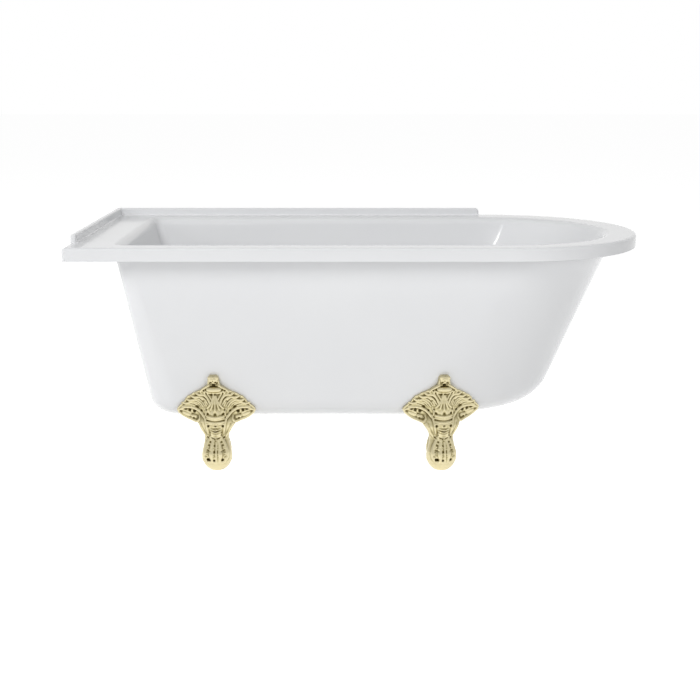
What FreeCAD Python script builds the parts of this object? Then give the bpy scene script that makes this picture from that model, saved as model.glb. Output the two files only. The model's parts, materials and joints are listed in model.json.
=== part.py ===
"""Double-skinned acrylic shower bath on four cast claw feet: square at the left end, round at the right.

Frame, in millimetres: +X runs along the bath from the square end to the round end, +Y runs from the room
side to the wall side and +Z is up. The origin is on the floor under the middle of the rim.
"""

import FreeCAD, Part
import math
import os
import Sketcher
from FreeCAD import Placement, Rotation, Vector

doc = FreeCAD.newDocument("ClawfootShowerBath")
sheet = doc.addObject("Spreadsheet::Sheet", "Dimensions")

SIZES = [
    # The rim and the deck, as insets from the rim's outer edge
    ("bath_length", 1500, "rim, square end to round end"),
    ("bath_width", 750, "rim, room side to wall side"),
    ("rim_face", 34, "height of the rim's outer face"),
    ("rim_round", 8, "rounding along the top of the rim's face"),
    ("rim_corner", 6, "plan radius of the square end's corners"),
    ("deck_left", 111, "deck width at the square end"),
    ("deck_front", 52, "deck width on the room side"),
    ("deck_back", 75, "deck width on the wall side"),
    ("deck_right", 70, "deck width at the round end"),
    ("upstand_height", 21, "tiling upstand above the deck"),
    ("upstand_thickness", 14, "tiling upstand, front to back"),
    ("upstand_right_gap", 391, "end of the upstand along the wall, from the rim's right edge"),
    ("upstand_left_gap", 100, "end of the upstand at the square end, from the room side"),
    ("upstand_inset", 1, "upstand's outer face, from the rim's outer face"),
    ("upstand_edge", 4, "rounding of the upstand's upper edges"),
    ("upstand_end_round", 12, "rounding over the top of the upstand's two ends"),
    ("upstand_foot", 4.5, "by which the upstand reaches down over the rim's rounding"),
    # The basin
    ("shell_wall", 5, "inner acrylic sheet"),
    ("basin_depth", 420, "deck to basin floor"),
    ("mouth_round", 26, "rounding from the deck into the basin"),
    ("basin_floor_round", 70, "rounding from the basin's walls to its floor"),
    ("basin_corner", 20, "plan radius of the basin's corners, from the deck down to the knee"),
    ("basin_corner_low", 100, "plan radius that these corners widen to at the floor"),
    ("basin_knee", 200, "height above the floor at which they start to widen"),
    ("basin_slope_left", 17, "degrees from upright, square end"),
    ("basin_slope_side", 12, "degrees from upright, long sides"),
    ("basin_slope_right", 26, "degrees from upright, lounging end"),
    ("basin_floor_arc", 600, "start of the floor's round end, from the rim's right edge"),
    # The outer skin, as insets from the rim's outer edge
    ("skin_wall", 5, "outer acrylic sheet"),
    ("skin_clearance", 132, "floor to the underside of the skin"),
    ("skin_top_left", 117, "inset under the rim, square end"),
    ("skin_top_side", 51, "inset under the rim, room side"),
    ("skin_top_right", 76, "inset under the rim, round end"),
    ("skin_top_arc", 355, "start of the round end under the rim, from the rim's right edge"),
    ("skin_top_corner", 40, "plan radius of the square end's corners under the rim"),
    ("skin_low_left", 180, "inset at the underside, square end"),
    ("skin_low_side", 137, "inset at the underside, room side"),
    ("skin_low_right", 260, "inset at the underside, round end"),
    ("skin_low_arc", 650, "start of the round end at the underside, from the rim's right edge"),
    ("skin_low_corner", 96, "plan radius of the square end's corners at the underside"),
    ("skin_round_left", 50, "rounding from the wall to the underside, square end"),
    ("skin_round_side", 72, "rounding from the walls to the underside, long sides"),
    ("skin_round_right", 125, "rounding from the wall to the underside, round end"),
    ("bond_gap", 0.4, "glue line between the skin's flange and the rim's lip"),
    # Stiffeners under the deck
    ("batten_front_width", 38, "room side"),
    ("batten_back_width", 58, "wall side"),
    ("batten_left_width", 92, "square end"),
    ("batten_end", 400, "end of the long battens, from the rim's right edge"),
    ("batten_gap", 3, "clearance between a batten and its neighbours"),
    ("rim_block_depth", 40, "blocks round the round end, across the rim"),
    ("rim_block_length", 80, "blocks round the round end, along the rim"),
    ("rim_block_spread", 50, "degrees between one block and the next"),
    # Board and blocks under the basin floor
    ("board_thickness", 18, "base board"),
    ("board_width", 270, "base board, across the bath"),
    ("board_left", 318, "start of the base board, from the square end"),
    ("board_right", 450, "end of the base board, from the rim's right edge"),
    ("block_height", 30, "foot blocks, from the skin up to the base board"),
    ("block_width", 90, "foot blocks, along the bath"),
    ("block_length", 80, "foot blocks, across the bath"),
    # Feet, as depths behind the rim's room-side edge
    ("foot_left_x", 360, "left pair of feet, from the square end"),
    ("foot_right_gap", 543, "right pair of feet, from the rim's right edge"),
    ("foot_yaw", 10, "degrees by which the right pair follows the curving wall"),
    ("foot_axis_depth", 130, "middle of the leg"),
    ("foot_apex_rise", 132, "the foot's finial above the skin's underside"),
    ("foot_wing_span", 210, "across the foot's wings"),
    ("foot_wing_rise", 42, "the wings' tips above the skin's underside"),
    ("foot_plate", 13, "thickness of the wings over the bath's wall"),
    ("foot_knee_width", 92, "across the leg under the wings"),
    ("foot_neck_width", 62, "across the leg's ankle"),
    ("foot_neck_drop", 43, "the ankle below the skin's underside"),
    ("foot_claw_width", 80, "across the claw"),
    ("foot_ball_radius", 34, "ball under the claw"),
    ("foot_ball_forward", 4, "ball's middle, in front of the leg's"),
    ("knee_front", 42, "front of the leg at the knee, from its middle"),
    ("knee_back", 32, "back of the leg at the knee, from its middle"),
    ("neck_front", 26, "front of the ankle, from the leg's middle"),
    ("neck_back", 28, "back of the ankle, from the leg's middle"),
    ("claw_front", 46, "front of the claw, from the leg's middle"),
    ("claw_back", 38, "back of the claw, from the leg's middle"),
    ("foot_fit", 0.3, "clearance between a casting and the curved skin"),
    ("lug_thickness", 10, "lug bolted to the underside"),
    ("lug_width", 74, "lug, along the bath"),
    ("lug_edge", 8, "lug beyond the washers"),
    ("pad_thickness", 3, "pad under the ball"),
    ("pad_radius", 13, "pad under the ball"),
    # Foot fixings
    ("bolt_diameter", 8, "foot bolts"),
    ("bolt_length", 40, "foot bolts, under the head"),
    ("bolt_head", 5.5, "height of the foot bolts' heads"),
    ("bolt_flats", 13, "across the flats of the foot bolts' heads"),
    ("bolt_spacing", 40, "between the two bolts of a foot"),
    ("bolt_hole", 9, "clearance holes for the foot bolts"),
    ("washer_radius", 10, "washers under the bolt heads"),
    ("washer_thickness", 1.6, "washers under the bolt heads"),
    ("insert_barrel", 11, "diameter of the threaded inserts"),
    ("insert_length", 14, "length of the threaded inserts"),
    ("insert_flange", 11, "radius of the threaded inserts' flanges"),
    ("insert_flange_height", 2, "height of the threaded inserts' flanges"),
    ("thread_clearance", 0.1, "radial clearance of threads drawn plain"),
    # Waste
    ("waste_x", 360, "middle of the waste, from the square end"),
    ("waste_thread_radius", 23.9, "outside of the 1 1/2 inch waste thread"),
    ("waste_bore_radius", 20, "inside of the waste's tail"),
    ("waste_tail", 40, "free thread at the end of the tail"),
    ("waste_groove", 4, "groove between the backnut and the free thread"),
    ("waste_groove_depth", 1, "groove between the backnut and the free thread"),
    ("waste_flange_radius", 36, "flange on the basin floor"),
    ("waste_flange_height", 3, "flange on the basin floor"),
    ("waste_hole_gap", 0.9, "between the thread and the hole in the basin floor"),
    ("seal_thickness", 2, "rubber washers"),
    ("tee_radius", 39, "overflow tee round the tail"),
    ("tee_height", 35, "overflow tee round the tail"),
    ("tee_port_drop", 21, "the tee's side port below its top"),
    ("backnut_radius", 31, "backnut under the tee"),
    ("backnut_height", 10, "backnut under the tee"),
    ("waste_room", 9, "clearance round the tee in the base board"),
    ("access_radius", 60, "access hole in the skin's underside"),
    ("cartridge_radius", 7, "plug cartridge"),
    ("cartridge_length", 36, "plug cartridge"),
    ("stem_radius", 4, "plug stem"),
    ("running_clearance", 0.05, "plug stem in its cartridge, radial"),
    ("plug_radius", 31, "plug cap"),
    ("plug_height", 6, "plug cap"),
    ("plug_travel", 9, "rise of the sprung plug"),
    # Overflow
    ("overflow_drop", 90, "deck to the middle of the overflow"),
    ("overflow_radius", 35, "overflow plate"),
    ("overflow_stand", 9, "front of the overflow plate, from the basin's wall"),
    ("overflow_hole", 21, "radius of the hole in the basin's wall"),
    ("overflow_cup_radius", 28, "overflow elbow behind the wall"),
    ("overflow_cup_depth", 15, "overflow elbow behind the wall"),
    ("overflow_screw_radius", 3, "screw of the overflow plate"),
    ("pipe_radius", 9, "overflow pipe, outside"),
    ("pipe_bore", 6.2, "overflow pipe, inside radius"),
    ("pipe_bend", 45, "bend of the overflow pipe"),
    ("spigot_radius", 6, "spigots inside the overflow pipe"),
    ("spigot_bore", 4, "inside radius of the spigots"),
]

for row, (alias, value, note) in enumerate(SIZES, start=1):
    sheet.set(f"A{row}", note)
    sheet.set(f"B{row}", str(value))
    sheet.setAlias(f"B{row}", alias)
doc.recompute()


def size(alias):
    """A driving dimension from the sheet, as a number."""
    return float(sheet.get(alias))


def cell(formula):
    """An expression in which each driving dimension is read from the sheet."""
    words = formula
    for alias in sorted((row[0] for row in SIZES), key=len, reverse=True):
        words = words.replace(alias, f"<<{alias}>>")
    return words.replace("<<", "Dimensions.").replace(">>", "")


# Levels, all stacked up from the floor, and the two that sketches and boxes need as formulas
BOARD_LEVEL = "(skin_clearance + skin_wall + block_height)"
DECK_LEVEL = f"({BOARD_LEVEL} + board_thickness + shell_wall + basin_depth)"
skin_low_z = size("skin_clearance")
skin_floor_z = skin_low_z + size("skin_wall")
board_low_z = skin_floor_z + size("block_height")
floor_under_z = board_low_z + size("board_thickness")
floor_z = floor_under_z + size("shell_wall")
deck_z = floor_z + size("basin_depth")
deck_under_z = deck_z - size("shell_wall")
rim_low_z = deck_z - size("rim_face")

# Edges of the rim, and the line along the middle of the basin and the skin
left_x = -size("bath_length") / 2
right_x = size("bath_length") / 2
front_y = -size("bath_width") / 2
middle_y = (size("deck_front") - size("deck_back")) / 2


def feature(name, shape):
    """A sub-part whose shape is worked out in code."""
    piece = doc.addObject("Part::Feature", name)
    piece.Label = name
    piece.Shape = shape
    return piece


# Outlines of the moulded shells: a straight-sided left end, and a right end of two quarter ellipses


def quarter_ellipse(centre, along, across, quarter):
    """The quarter ellipse from the room side to the tip (0), or from the tip to the wall side (1)."""
    start, end = ((-90, 0), (0, 90))[quarter]
    if abs(along - across) < 1e-6:
        circle = Part.Circle(centre, Vector(0, 0, 1), along)
        return Part.ArcOfCircle(circle, math.radians(start), math.radians(end)).toShape()
    tip = centre + Vector(along, 0, 0)
    side = centre + Vector(0, across, 0)
    if along > across:
        ellipse = Part.Ellipse(tip, side, centre)
        turn = 0
    else:
        ellipse = Part.Ellipse(side, centre - Vector(along, 0, 0), centre)
        turn = -90
    return Part.ArcOfEllipse(ellipse, math.radians(start + turn), math.radians(end + turn)).toShape()


def outline(left, right, arc, half, corner, z, y=middle_y):
    """A closed outline at height z. left, right and arc, where the round end starts, are X positions."""
    low = y - half
    high = y + half
    bulge = corner * (1 - math.sqrt(0.5))

    def line(x1, y1, x2, y2):
        return Part.LineSegment(Vector(x1, y1, z), Vector(x2, y2, z)).toShape()

    def bend(x1, y1, x2, y2, x3, y3):
        return Part.Arc(Vector(x1, y1, z), Vector(x2, y2, z), Vector(x3, y3, z)).toShape()

    centre = Vector(arc, y, z)
    edges = [
        line(left + corner, low, arc, low),
        quarter_ellipse(centre, right - arc, half, 0),
        quarter_ellipse(centre, right - arc, half, 1),
        line(arc, high, left + corner, high),
        bend(left + corner, high, left + bulge, high - bulge, left, high - corner),
        line(left, high - corner, left, low + corner),
        bend(left, low + corner, left + bulge, low + bulge, left + corner, low),
    ]
    return Part.Wire(Part.__sortEdges__(edges))


def slab(wire, height):
    """The solid of an outline raised by a height."""
    return Part.Face(wire).extrude(Vector(0, 0, height))


def edges_at(shape, z, inside=None):
    """The edges that lie at height z, and within the box inside where it is given."""
    found = []
    for edge in shape.Edges:
        box = edge.BoundBox
        level = abs(box.ZMin - z) < 1e-3 and abs(box.ZMax - z) < 1e-3
        if level and (inside is None or inside.isInside(box)):
            found.append(edge)
    return found


def rim_outline(inset, z):
    """The rim's outline, drawn in by an inset: square at the left, a half circle at the right."""
    half = size("bath_width") / 2 - inset
    arc = right_x - size("bath_width") / 2
    corner = max(size("rim_corner") - inset, 1)
    return outline(left_x + inset, right_x - inset, arc, half, corner, z, y=0)


def skin_outline(share, offset, z):
    """The outer skin's outline from under the rim (share 0) to the underside (share 1)."""

    def between(top, low):
        return size(top) + (size(low) - size(top)) * share

    half = size("bath_width") / 2 + middle_y - between("skin_top_side", "skin_low_side")
    return outline(
        left_x + between("skin_top_left", "skin_low_left") - offset,
        right_x - between("skin_top_right", "skin_low_right") + offset,
        right_x - between("skin_top_arc", "skin_low_arc"),
        half + offset,
        between("skin_top_corner", "skin_low_corner") + offset,
        z,
    )


def skin_solid(offset, low_z):
    """The space inside the outer skin's outer face moved out by offset, down to low_z."""
    share = (rim_low_z - low_z) / (rim_low_z - skin_low_z)
    rings = [skin_outline(0, offset, rim_low_z), skin_outline(share, offset, low_z)]
    sharp = doc.addObject("Part::Feature", "sharp_skin")
    sharp.Shape = Part.makeLoft(rings, True, True)
    ends = rings[1].BoundBox

    def radius_at(point):
        where = "left" if point.x < ends.XMin + 1 else "right" if point.x > ends.XMax - 1 else "side"
        return size(f"skin_round_{where}") + offset

    rounding = doc.addObject("Part::Fillet", "skin_rounding")
    rounding.Base = sharp
    low_edges = edges_at(sharp.Shape, low_z)
    rounding.Edges = [
        (i, radius_at(edge.valueAt(edge.FirstParameter)), radius_at(edge.valueAt(edge.LastParameter)))
        for i, edge in enumerate(sharp.Shape.Edges, start=1)
        if any(edge.isSame(low) for low in low_edges)
    ]
    doc.recompute()
    solid = rounding.Shape.copy()
    for helper in (rounding, sharp):
        doc.removeObject(helper.Name)
    return solid


def lean(alias):
    """How far a basin wall comes in for each millimetre down."""
    return math.tan(math.radians(size(alias)))


def mouth_reach(alias):
    """From the edge of the deck to where the wall's straight line would meet the deck."""
    return size("mouth_round") * math.tan(math.radians(90 - size(alias)) / 2)


def basin_wall(deck, slope, z):
    """Inset of a basin wall's inner face from the rim's edge at height z."""
    return size(deck) + mouth_reach(slope) + lean(slope) * (deck_z - z)


def basin_outline(offset, z):
    """The basin's outline at height z, drawn out by an offset."""
    share = (deck_z - z) / size("basin_depth")
    top_arc = size("deck_right") + (size("bath_width") - size("deck_front") - size("deck_back")) / 2
    arc = top_arc + (size("basin_floor_arc") - top_arc) * share
    half = size("bath_width") / 2 + middle_y - basin_wall("deck_front", "basin_slope_side", z)
    widening = max(1 - (z - floor_z) / size("basin_knee"), 0)
    corner = size("basin_corner") + (size("basin_corner_low") - size("basin_corner")) * widening
    return outline(
        left_x + basin_wall("deck_left", "basin_slope_left", z) - offset,
        right_x - basin_wall("deck_right", "basin_slope_right", z) + offset,
        right_x - arc,
        half + offset,
        corner + offset,
        z,
    )


def basin_solid(offset, top_z, low_z):
    """The basin's inside, or with an offset its outside, from top_z down to low_z."""
    levels = (top_z, floor_z + size("basin_knee"), low_z)
    solid = Part.makeLoft([basin_outline(offset, z) for z in levels], True, True)
    return solid.makeFillet(size("basin_floor_round") + offset, edges_at(solid, low_z))


def hole(radius, x, y, low_z, high_z):
    """An upright cylinder to cut with."""
    return Part.makeCylinder(radius, high_z - low_z, Vector(x, y, low_z))


waste_centre_x = left_x + size("waste_x")
waste_hole_radius = size("waste_thread_radius") + size("waste_hole_gap")
port_z = floor_under_z - size("seal_thickness") - size("tee_port_drop")

# The overflow sits square on the sloping wall at the square end: its own axis points into the basin
overflow_z = deck_z - size("overflow_drop")
overflow_x = left_x + basin_wall("deck_left", "basin_slope_left", overflow_z)
overflow_turn = Rotation(Vector(0, 1, 0), 90 - size("basin_slope_left"))
overflow_place = Placement(Vector(overflow_x, middle_y, overflow_z), overflow_turn)


# The inner shell: deck, turned-down lip and basin in one sheet of acrylic


def make_inner_shell():
    rim = slab(rim_outline(0, rim_low_z), size("rim_face"))
    rim = rim.makeFillet(size("rim_round"), edges_at(rim, deck_z))
    rim = rim.cut(slab(rim_outline(size("shell_wall"), rim_low_z), size("rim_face") - size("shell_wall")))
    shell = rim.fuse(basin_solid(size("shell_wall"), deck_under_z, floor_under_z)).removeSplitter()
    lip = 2 * size("rim_round")
    mouth = FreeCAD.BoundBox(left_x + lip, front_y + lip, 0, right_x - lip, -front_y - lip, deck_z + 1)
    under_round = size("mouth_round") - size("shell_wall")
    shell = shell.makeFillet(under_round, edges_at(shell, deck_under_z, mouth))
    shell = shell.cut(basin_solid(0, deck_z, floor_z))
    shell = shell.makeFillet(size("mouth_round"), edges_at(shell, deck_z, mouth))
    shell = shell.cut(hole(waste_hole_radius, waste_centre_x, middle_y, floor_under_z - 1, floor_z + 1))
    wall = size("shell_wall")
    overflow_bore = Part.makeCylinder(size("overflow_hole"), 4 * wall, Vector(0, 0, -3 * wall))
    overflow_bore.Placement = overflow_place.multiply(overflow_bore.Placement)
    return shell.cut(overflow_bore)


feature("inner_shell", make_inner_shell())


# Feet: where each stands, and which way it faces

foot_axis_y = front_y + size("foot_axis_depth")
foot_left = left_x + size("foot_left_x")
foot_right = right_x - size("foot_right_gap")
FEET = {
    "front_left": (foot_left, 0, False),
    "front_right": (foot_right, size("foot_yaw"), False),
    "back_left": (foot_left, 0, True),
    "back_right": (foot_right, size("foot_yaw"), True),
}


def foot_place(where):
    """A foot's own frame: its origin is on the floor under the leg, its +Y points under the bath."""
    x, yaw, at_back = FEET[where]
    if at_back:
        return Placement(Vector(x, 2 * middle_y - foot_axis_y, 0), Rotation(Vector(0, 0, 1), 180 - yaw))
    return Placement(Vector(x, foot_axis_y, 0), Rotation(Vector(0, 0, 1), yaw))


# The bolts stand far enough in to meet the flat of the underside
skin_side_lean = (size("skin_low_side") - size("skin_top_side")) / (rim_low_z - skin_low_z)
flat_reach = size("skin_round_side") * math.tan((math.pi / 2 - math.atan(skin_side_lean)) / 2)
flat_start = size("skin_low_side") + flat_reach - size("foot_axis_depth")
block_margin = 10
block_start = flat_start + block_margin
bolt_y = block_start + size("block_length") / 3
BOLT_SPOTS = [Vector(side * size("bolt_spacing") / 2, bolt_y, 0) for side in (-1, 1)]


def bolt_holes(radius, low_z, high_z):
    """The two bolts' holes, in a foot's own frame."""
    return Part.makeCompound([hole(radius, spot.x, spot.y, low_z, high_z) for spot in BOLT_SPOTS])


def in_bath(shape, where):
    """A copy of a shape drawn in a foot's own frame, moved to its place in the bath."""
    moved = shape.copy()
    moved.Placement = foot_place(where).multiply(moved.Placement)
    return moved


# The outer skin: tapered body, flange under the deck, access hole and bolt holes


def make_outer_shell():
    wall = size("skin_wall")
    skin = skin_solid(0, skin_low_z).cut(skin_solid(-wall, skin_floor_z))
    flange = slab(rim_outline(size("shell_wall") + size("bond_gap"), rim_low_z), wall)
    flange = flange.cut(slab(skin_outline(0, -wall, rim_low_z), wall))
    skin = skin.fuse(flange).removeSplitter()
    skin = skin.cut(hole(size("access_radius"), waste_centre_x, middle_y, skin_low_z - 1, skin_floor_z + 1))
    for where in FEET:
        skin = skin.cut(in_bath(bolt_holes(size("bolt_hole") / 2, skin_low_z - 1, skin_floor_z + 1), where))
    return skin


feature("outer_shell", make_outer_shell())


# Sketched pieces: a closed outline whose corners follow the sheet, padded or turned


def sketch_outline(body, plane_role, name, corners, raise_by=None):
    """A closed sketch on one of the body's planes, each corner's two coordinates bound to formulas."""
    plane = next(p for p in body.Origin.OriginFeatures if p.Role == plane_role)
    sketch = body.newObject("Sketcher::SketchObject", name)
    sketch.AttachmentSupport = (plane, [""])
    sketch.MapMode = "FlatFace"
    if raise_by:
        sketch.setExpression("AttachmentOffset.Base.z", cell(raise_by))
    values = []
    for across, up in corners:
        values.append((number(across), number(up)))
    count = len(corners)
    for i in range(count):
        start = Vector(*values[i], 0)
        end = Vector(*values[(i + 1) % count], 0)
        sketch.addGeometry(Part.LineSegment(start, end), False)
    for i in range(count):
        sketch.addConstraint(Sketcher.Constraint("Coincident", i, 2, (i + 1) % count, 1))
    for i, (across, up) in enumerate(corners):
        for kind, formula, value in (("DistanceX", across, values[i][0]), ("DistanceY", up, values[i][1])):
            index = sketch.addConstraint(Sketcher.Constraint(kind, -1, 1, i, 1, value))
            sketch.setExpression(f"Constraints[{index}]", cell(formula))
    return sketch


probe = doc.addObject("Part::Cylinder", "formula_probe")
PROBE_BASE = 100000


def number(formula):
    """A formula's value now, read as the height of a spare cylinder, which has to stay above zero."""
    probe.setExpression("Height", cell(f"({formula}) + {PROBE_BASE}"))
    probe.recompute()
    return probe.Height.Value - PROBE_BASE


def turned(name, corners, place):
    """A body turned about its own axis from corners (radius, height), set at a place in the bath."""
    body = doc.addObject("PartDesign::Body", name)
    body.Label = name
    sketch = sketch_outline(body, "XZ_Plane", f"{name}_profile", corners)
    turn = body.newObject("PartDesign::Revolution", f"{name}_turn")
    turn.Profile = sketch
    turn.ReferenceAxis = (sketch, ["V_Axis"])
    turn.Angle = 360
    body.Placement = place
    doc.recompute()
    return body


def padded(name, corners, low, height):
    """A body padded up by a height from an outline at a level, all three given by formulas."""
    body = doc.addObject("PartDesign::Body", name)
    body.Label = name
    sketch = sketch_outline(body, "XY_Plane", f"{name}_outline", corners, raise_by=low)
    pad = body.newObject("PartDesign::Pad", f"{name}_pad")
    pad.Profile = sketch
    pad.setExpression("Length", cell(height))
    doc.recompute()
    return body


def bound_box(name, lows, lengths):
    """A box whose low corner and lengths are bound to formulas."""
    box = doc.addObject("Part::Box", name)
    box.Label = name
    for prop, formula in zip(("Length", "Width", "Height"), lengths, strict=True):
        box.setExpression(prop, cell(formula))
    for axis, formula in zip("xyz", lows, strict=True):
        box.setExpression(f"Placement.Base.{axis}", cell(formula))
    doc.recompute()
    return box


# The tiling upstand: an L-shaped strip along the wall side and the square end, with rounded ends and edges


def make_upstand():
    inset = size("upstand_inset")
    outer_x, outer_y = left_x + inset, -front_y - inset
    inner_x, inner_y = outer_x + size("upstand_thickness"), outer_y - size("upstand_thickness")
    wall_end = right_x - size("upstand_right_gap")
    room_end = front_y + size("upstand_left_gap")
    low_z = deck_z - size("upstand_foot")
    top_z = deck_z + size("upstand_height")
    plan = [(outer_x, room_end), (inner_x, room_end), (inner_x, inner_y), (wall_end, inner_y)]
    plan += [(wall_end, outer_y), (outer_x, outer_y)]
    corners = [Vector(x, y, low_z) for x, y in plan]
    strip = slab(Part.makePolygon(corners + corners[:1]), top_z - low_z)

    def at_an_end(edge):
        box = edge.BoundBox
        return box.XMin > wall_end - 1e-3 or box.YMax < room_end + 1e-3

    def kept_sharp(edge):
        box = edge.BoundBox
        inner_corner = abs(box.XMin - inner_x) + abs(box.YMin - inner_y) < 1e-3 and box.ZLength > 1
        return inner_corner or box.ZMax < low_z + 1e-3

    end_tops = [edge for edge in edges_at(strip, top_z) if at_an_end(edge)]
    strip = strip.makeFillet(size("upstand_end_round"), end_tops)
    rounded = [edge for edge in strip.Edges if edge.BoundBox.ZMin < low_z + 1 and edge.BoundBox.ZLength > 1]
    rounded = [edge for edge in rounded if not kept_sharp(edge)] + edges_at(strip, top_z)
    strip = strip.makeFillet(size("upstand_edge"), rounded)
    return strip.cut(doc.getObject("inner_shell").Shape)


feature("tiling_upstand", make_upstand())


# Battens between the deck and the skin's flange

batten_low = f"{DECK_LEVEL} - rim_face + skin_wall"
batten_height = "rim_face - skin_wall - shell_wall"
edge_gap = "(shell_wall + batten_gap)"

bound_box(
    "rim_batten_front",
    (f"-bath_length / 2 + {edge_gap}", f"-bath_width / 2 + {edge_gap}", batten_low),
    (f"bath_length - batten_end - {edge_gap}", "batten_front_width", batten_height),
)
bound_box(
    "rim_batten_back",
    (f"-bath_length / 2 + {edge_gap}", f"bath_width / 2 - {edge_gap} - batten_back_width", batten_low),
    (f"bath_length - batten_end - {edge_gap}", "batten_back_width", batten_height),
)
bound_box(
    "rim_batten_left",
    (
        f"-bath_length / 2 + {edge_gap}",
        f"-bath_width / 2 + {edge_gap} + batten_front_width + batten_gap",
        batten_low,
    ),
    (
        "batten_left_width",
        f"bath_width - 2 * ({edge_gap} + batten_gap) - batten_front_width - batten_back_width",
        batten_height,
    ),
)


def make_rim_blocks():
    """Three blocks set round the round end, between the basin and the rim's lip."""
    depth = size("rim_block_depth")
    length = size("rim_block_length")
    height = size("rim_face") - size("skin_wall") - size("shell_wall")
    lip = size("bath_width") / 2 - size("shell_wall")
    corner_reach = math.sqrt((lip - size("batten_gap")) ** 2 - (length / 2) ** 2)
    blocks = []
    for step in (-1, 0, 1):
        low = Vector(corner_reach - depth, -length / 2, rim_low_z + size("skin_wall"))
        block = Part.makeBox(depth, length, height, low)
        centre = Vector(right_x - size("bath_width") / 2, 0, 0)
        turn = Rotation(Vector(0, 0, 1), step * size("rim_block_spread"))
        block.Placement = Placement(centre, turn).multiply(block.Placement)
        blocks.append(block)
    return Part.makeCompound(blocks)


feature("rim_blocks_round_end", make_rim_blocks())


# The base board under the basin floor, notched for the waste and the overflow pipe

board_half = "board_width / 2"
middle = "(deck_front - deck_back) / 2"
notch_half = "(tee_radius + waste_room)"
notch_end = "-bath_length / 2 + waste_x + tee_radius + waste_room"
board_end = "bath_length / 2 - board_right"
padded(
    "base_board",
    [
        ("-bath_length / 2 + board_left", f"{middle} - {board_half}"),
        (board_end, f"{middle} - {board_half}"),
        (board_end, f"{middle} + {board_half}"),
        ("-bath_length / 2 + board_left", f"{middle} + {board_half}"),
        ("-bath_length / 2 + board_left", f"{middle} + {notch_half}"),
        (notch_end, f"{middle} + {notch_half}"),
        (notch_end, f"{middle} - {notch_half}"),
        ("-bath_length / 2 + board_left", f"{middle} - {notch_half}"),
    ],
    BOARD_LEVEL,
    "board_thickness",
)


# Blocks that pass the feet's pull up into the base board


def make_foot_block():
    """A block in a foot's own frame, bored for the bolts and sunk on top for the inserts."""
    width = size("block_width")
    height = board_low_z - skin_floor_z
    corner = Vector(-width / 2, block_start, skin_floor_z)
    block = Part.makeBox(width, size("block_length"), height, corner)
    block = block.cut(bolt_holes(size("bolt_hole") / 2, skin_floor_z - 1, board_low_z + 1))
    barrel = size("insert_barrel") / 2 + size("thread_clearance")
    block = block.cut(bolt_holes(barrel, board_low_z - size("insert_length"), board_low_z + 1))
    flange = size("insert_flange") + size("thread_clearance")
    return block.cut(bolt_holes(flange, board_low_z - size("insert_flange_height"), board_low_z + 1))


foot_block_shape = make_foot_block()
for where in FEET:
    feature(f"foot_block_{where}", in_bath(foot_block_shape, where))


# Claw feet: winged bracket against the wall, leg, claw on a ball, and a lug under the bath


def wing_face():
    """Half of the bracket's outline from the finial down to the ankle, then mirrored, in (across, up)."""
    span = size("foot_wing_span") / 2
    tip = skin_low_z + size("foot_wing_rise")
    apex = skin_low_z + size("foot_apex_rise")
    knee = size("foot_knee_width") / 2
    rise = apex - tip
    return [
        (span * 0.05, apex),
        (span * 0.13, apex - rise * 0.12),
        (span * 0.29, tip + rise * 0.70),
        (span * 0.62, tip + rise * 0.50),
        (span * 0.86, tip + rise * 0.20),
        (span, tip),
        (span * 0.94, tip - rise * 0.14),
        (span * 0.74, tip - rise * 0.36),
        (knee, tip - rise * 0.56),
    ]


def make_bracket():
    """The winged plate, parallel to the bath's wall and deep enough to be trimmed to it."""
    half = wing_face()
    mirrored = [(-across, up) for across, up in reversed(half)]
    wall_top_y = size("skin_top_side") - size("foot_axis_depth")
    thickness = size("foot_plate") / math.cos(math.atan(skin_side_lean))

    def on_face(across, up):
        return Vector(across, wall_top_y + skin_side_lean * (rim_low_z - up) - thickness, up)

    corners = [on_face(across, up) for across, up in half + mirrored]
    face = Part.Face(Part.makePolygon(corners + [corners[0]]))
    return face.extrude(Vector(0, 4 * size("foot_plate"), 0))


def leg_ring(half_width, front, back, z):
    """An oval section of the leg at height z, reaching forward and back from the leg's middle."""
    depth = (front + back) / 2
    centre = Vector(0, (back - front) / 2, z)
    side = centre + Vector(half_width, 0, 0)
    other = centre + Vector(0, depth, 0)
    oval = Part.Ellipse(side, other, centre) if half_width > depth else Part.Ellipse(other, side, centre)
    return Part.Wire(oval.toShape())


def make_leg():
    """The leg, from under the wings through the ankle to the claw."""
    knee = size("foot_knee_width") / 2
    neck = size("foot_neck_width") / 2
    claw = size("foot_claw_width") / 2
    ball = size("foot_ball_radius")
    wing_z = skin_low_z + size("foot_wing_rise")
    neck_z = skin_low_z - size("foot_neck_drop")
    knee_z = neck_z + (skin_low_z - neck_z) * 0.73
    rings = [
        leg_ring(knee * 0.8, size("knee_front") * 0.95, size("knee_back") * 0.88, wing_z),
        leg_ring(knee, size("knee_front"), size("knee_back"), knee_z),
        leg_ring(neck, size("neck_front"), size("neck_back"), neck_z),
        leg_ring(claw * 0.93, size("claw_front") * 0.78, size("claw_back") * 0.9, (neck_z + ball) / 2 + 2),
        leg_ring(claw, size("claw_front"), size("claw_back"), ball * 1.24),
        leg_ring(claw * 0.86, size("claw_front") * 0.91, size("claw_back") * 0.79, ball * 0.7),
    ]
    return Part.makeLoft(rings, True, False)


def make_toes():
    """Four toes spread over the front of the ball, each a knuckle and a nail pointing down."""
    claw = size("foot_claw_width") / 2
    ball = size("foot_ball_radius")
    toe = claw * 0.27
    toes = []
    for spread in (-1.5, -0.5, 0.5, 1.5):
        across = spread * claw * 0.49
        front = toe + abs(spread) * toe * 0.8 - size("claw_front")
        knuckle = Part.makeSphere(toe, Vector(across, front, ball * 1.47))
        nail = Part.makeCone(toe * 0.3, toe * 0.95, ball * 1.06, Vector(across, front + 1, ball * 0.41))
        toes.append(knuckle.fuse(nail))
    return toes


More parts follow.
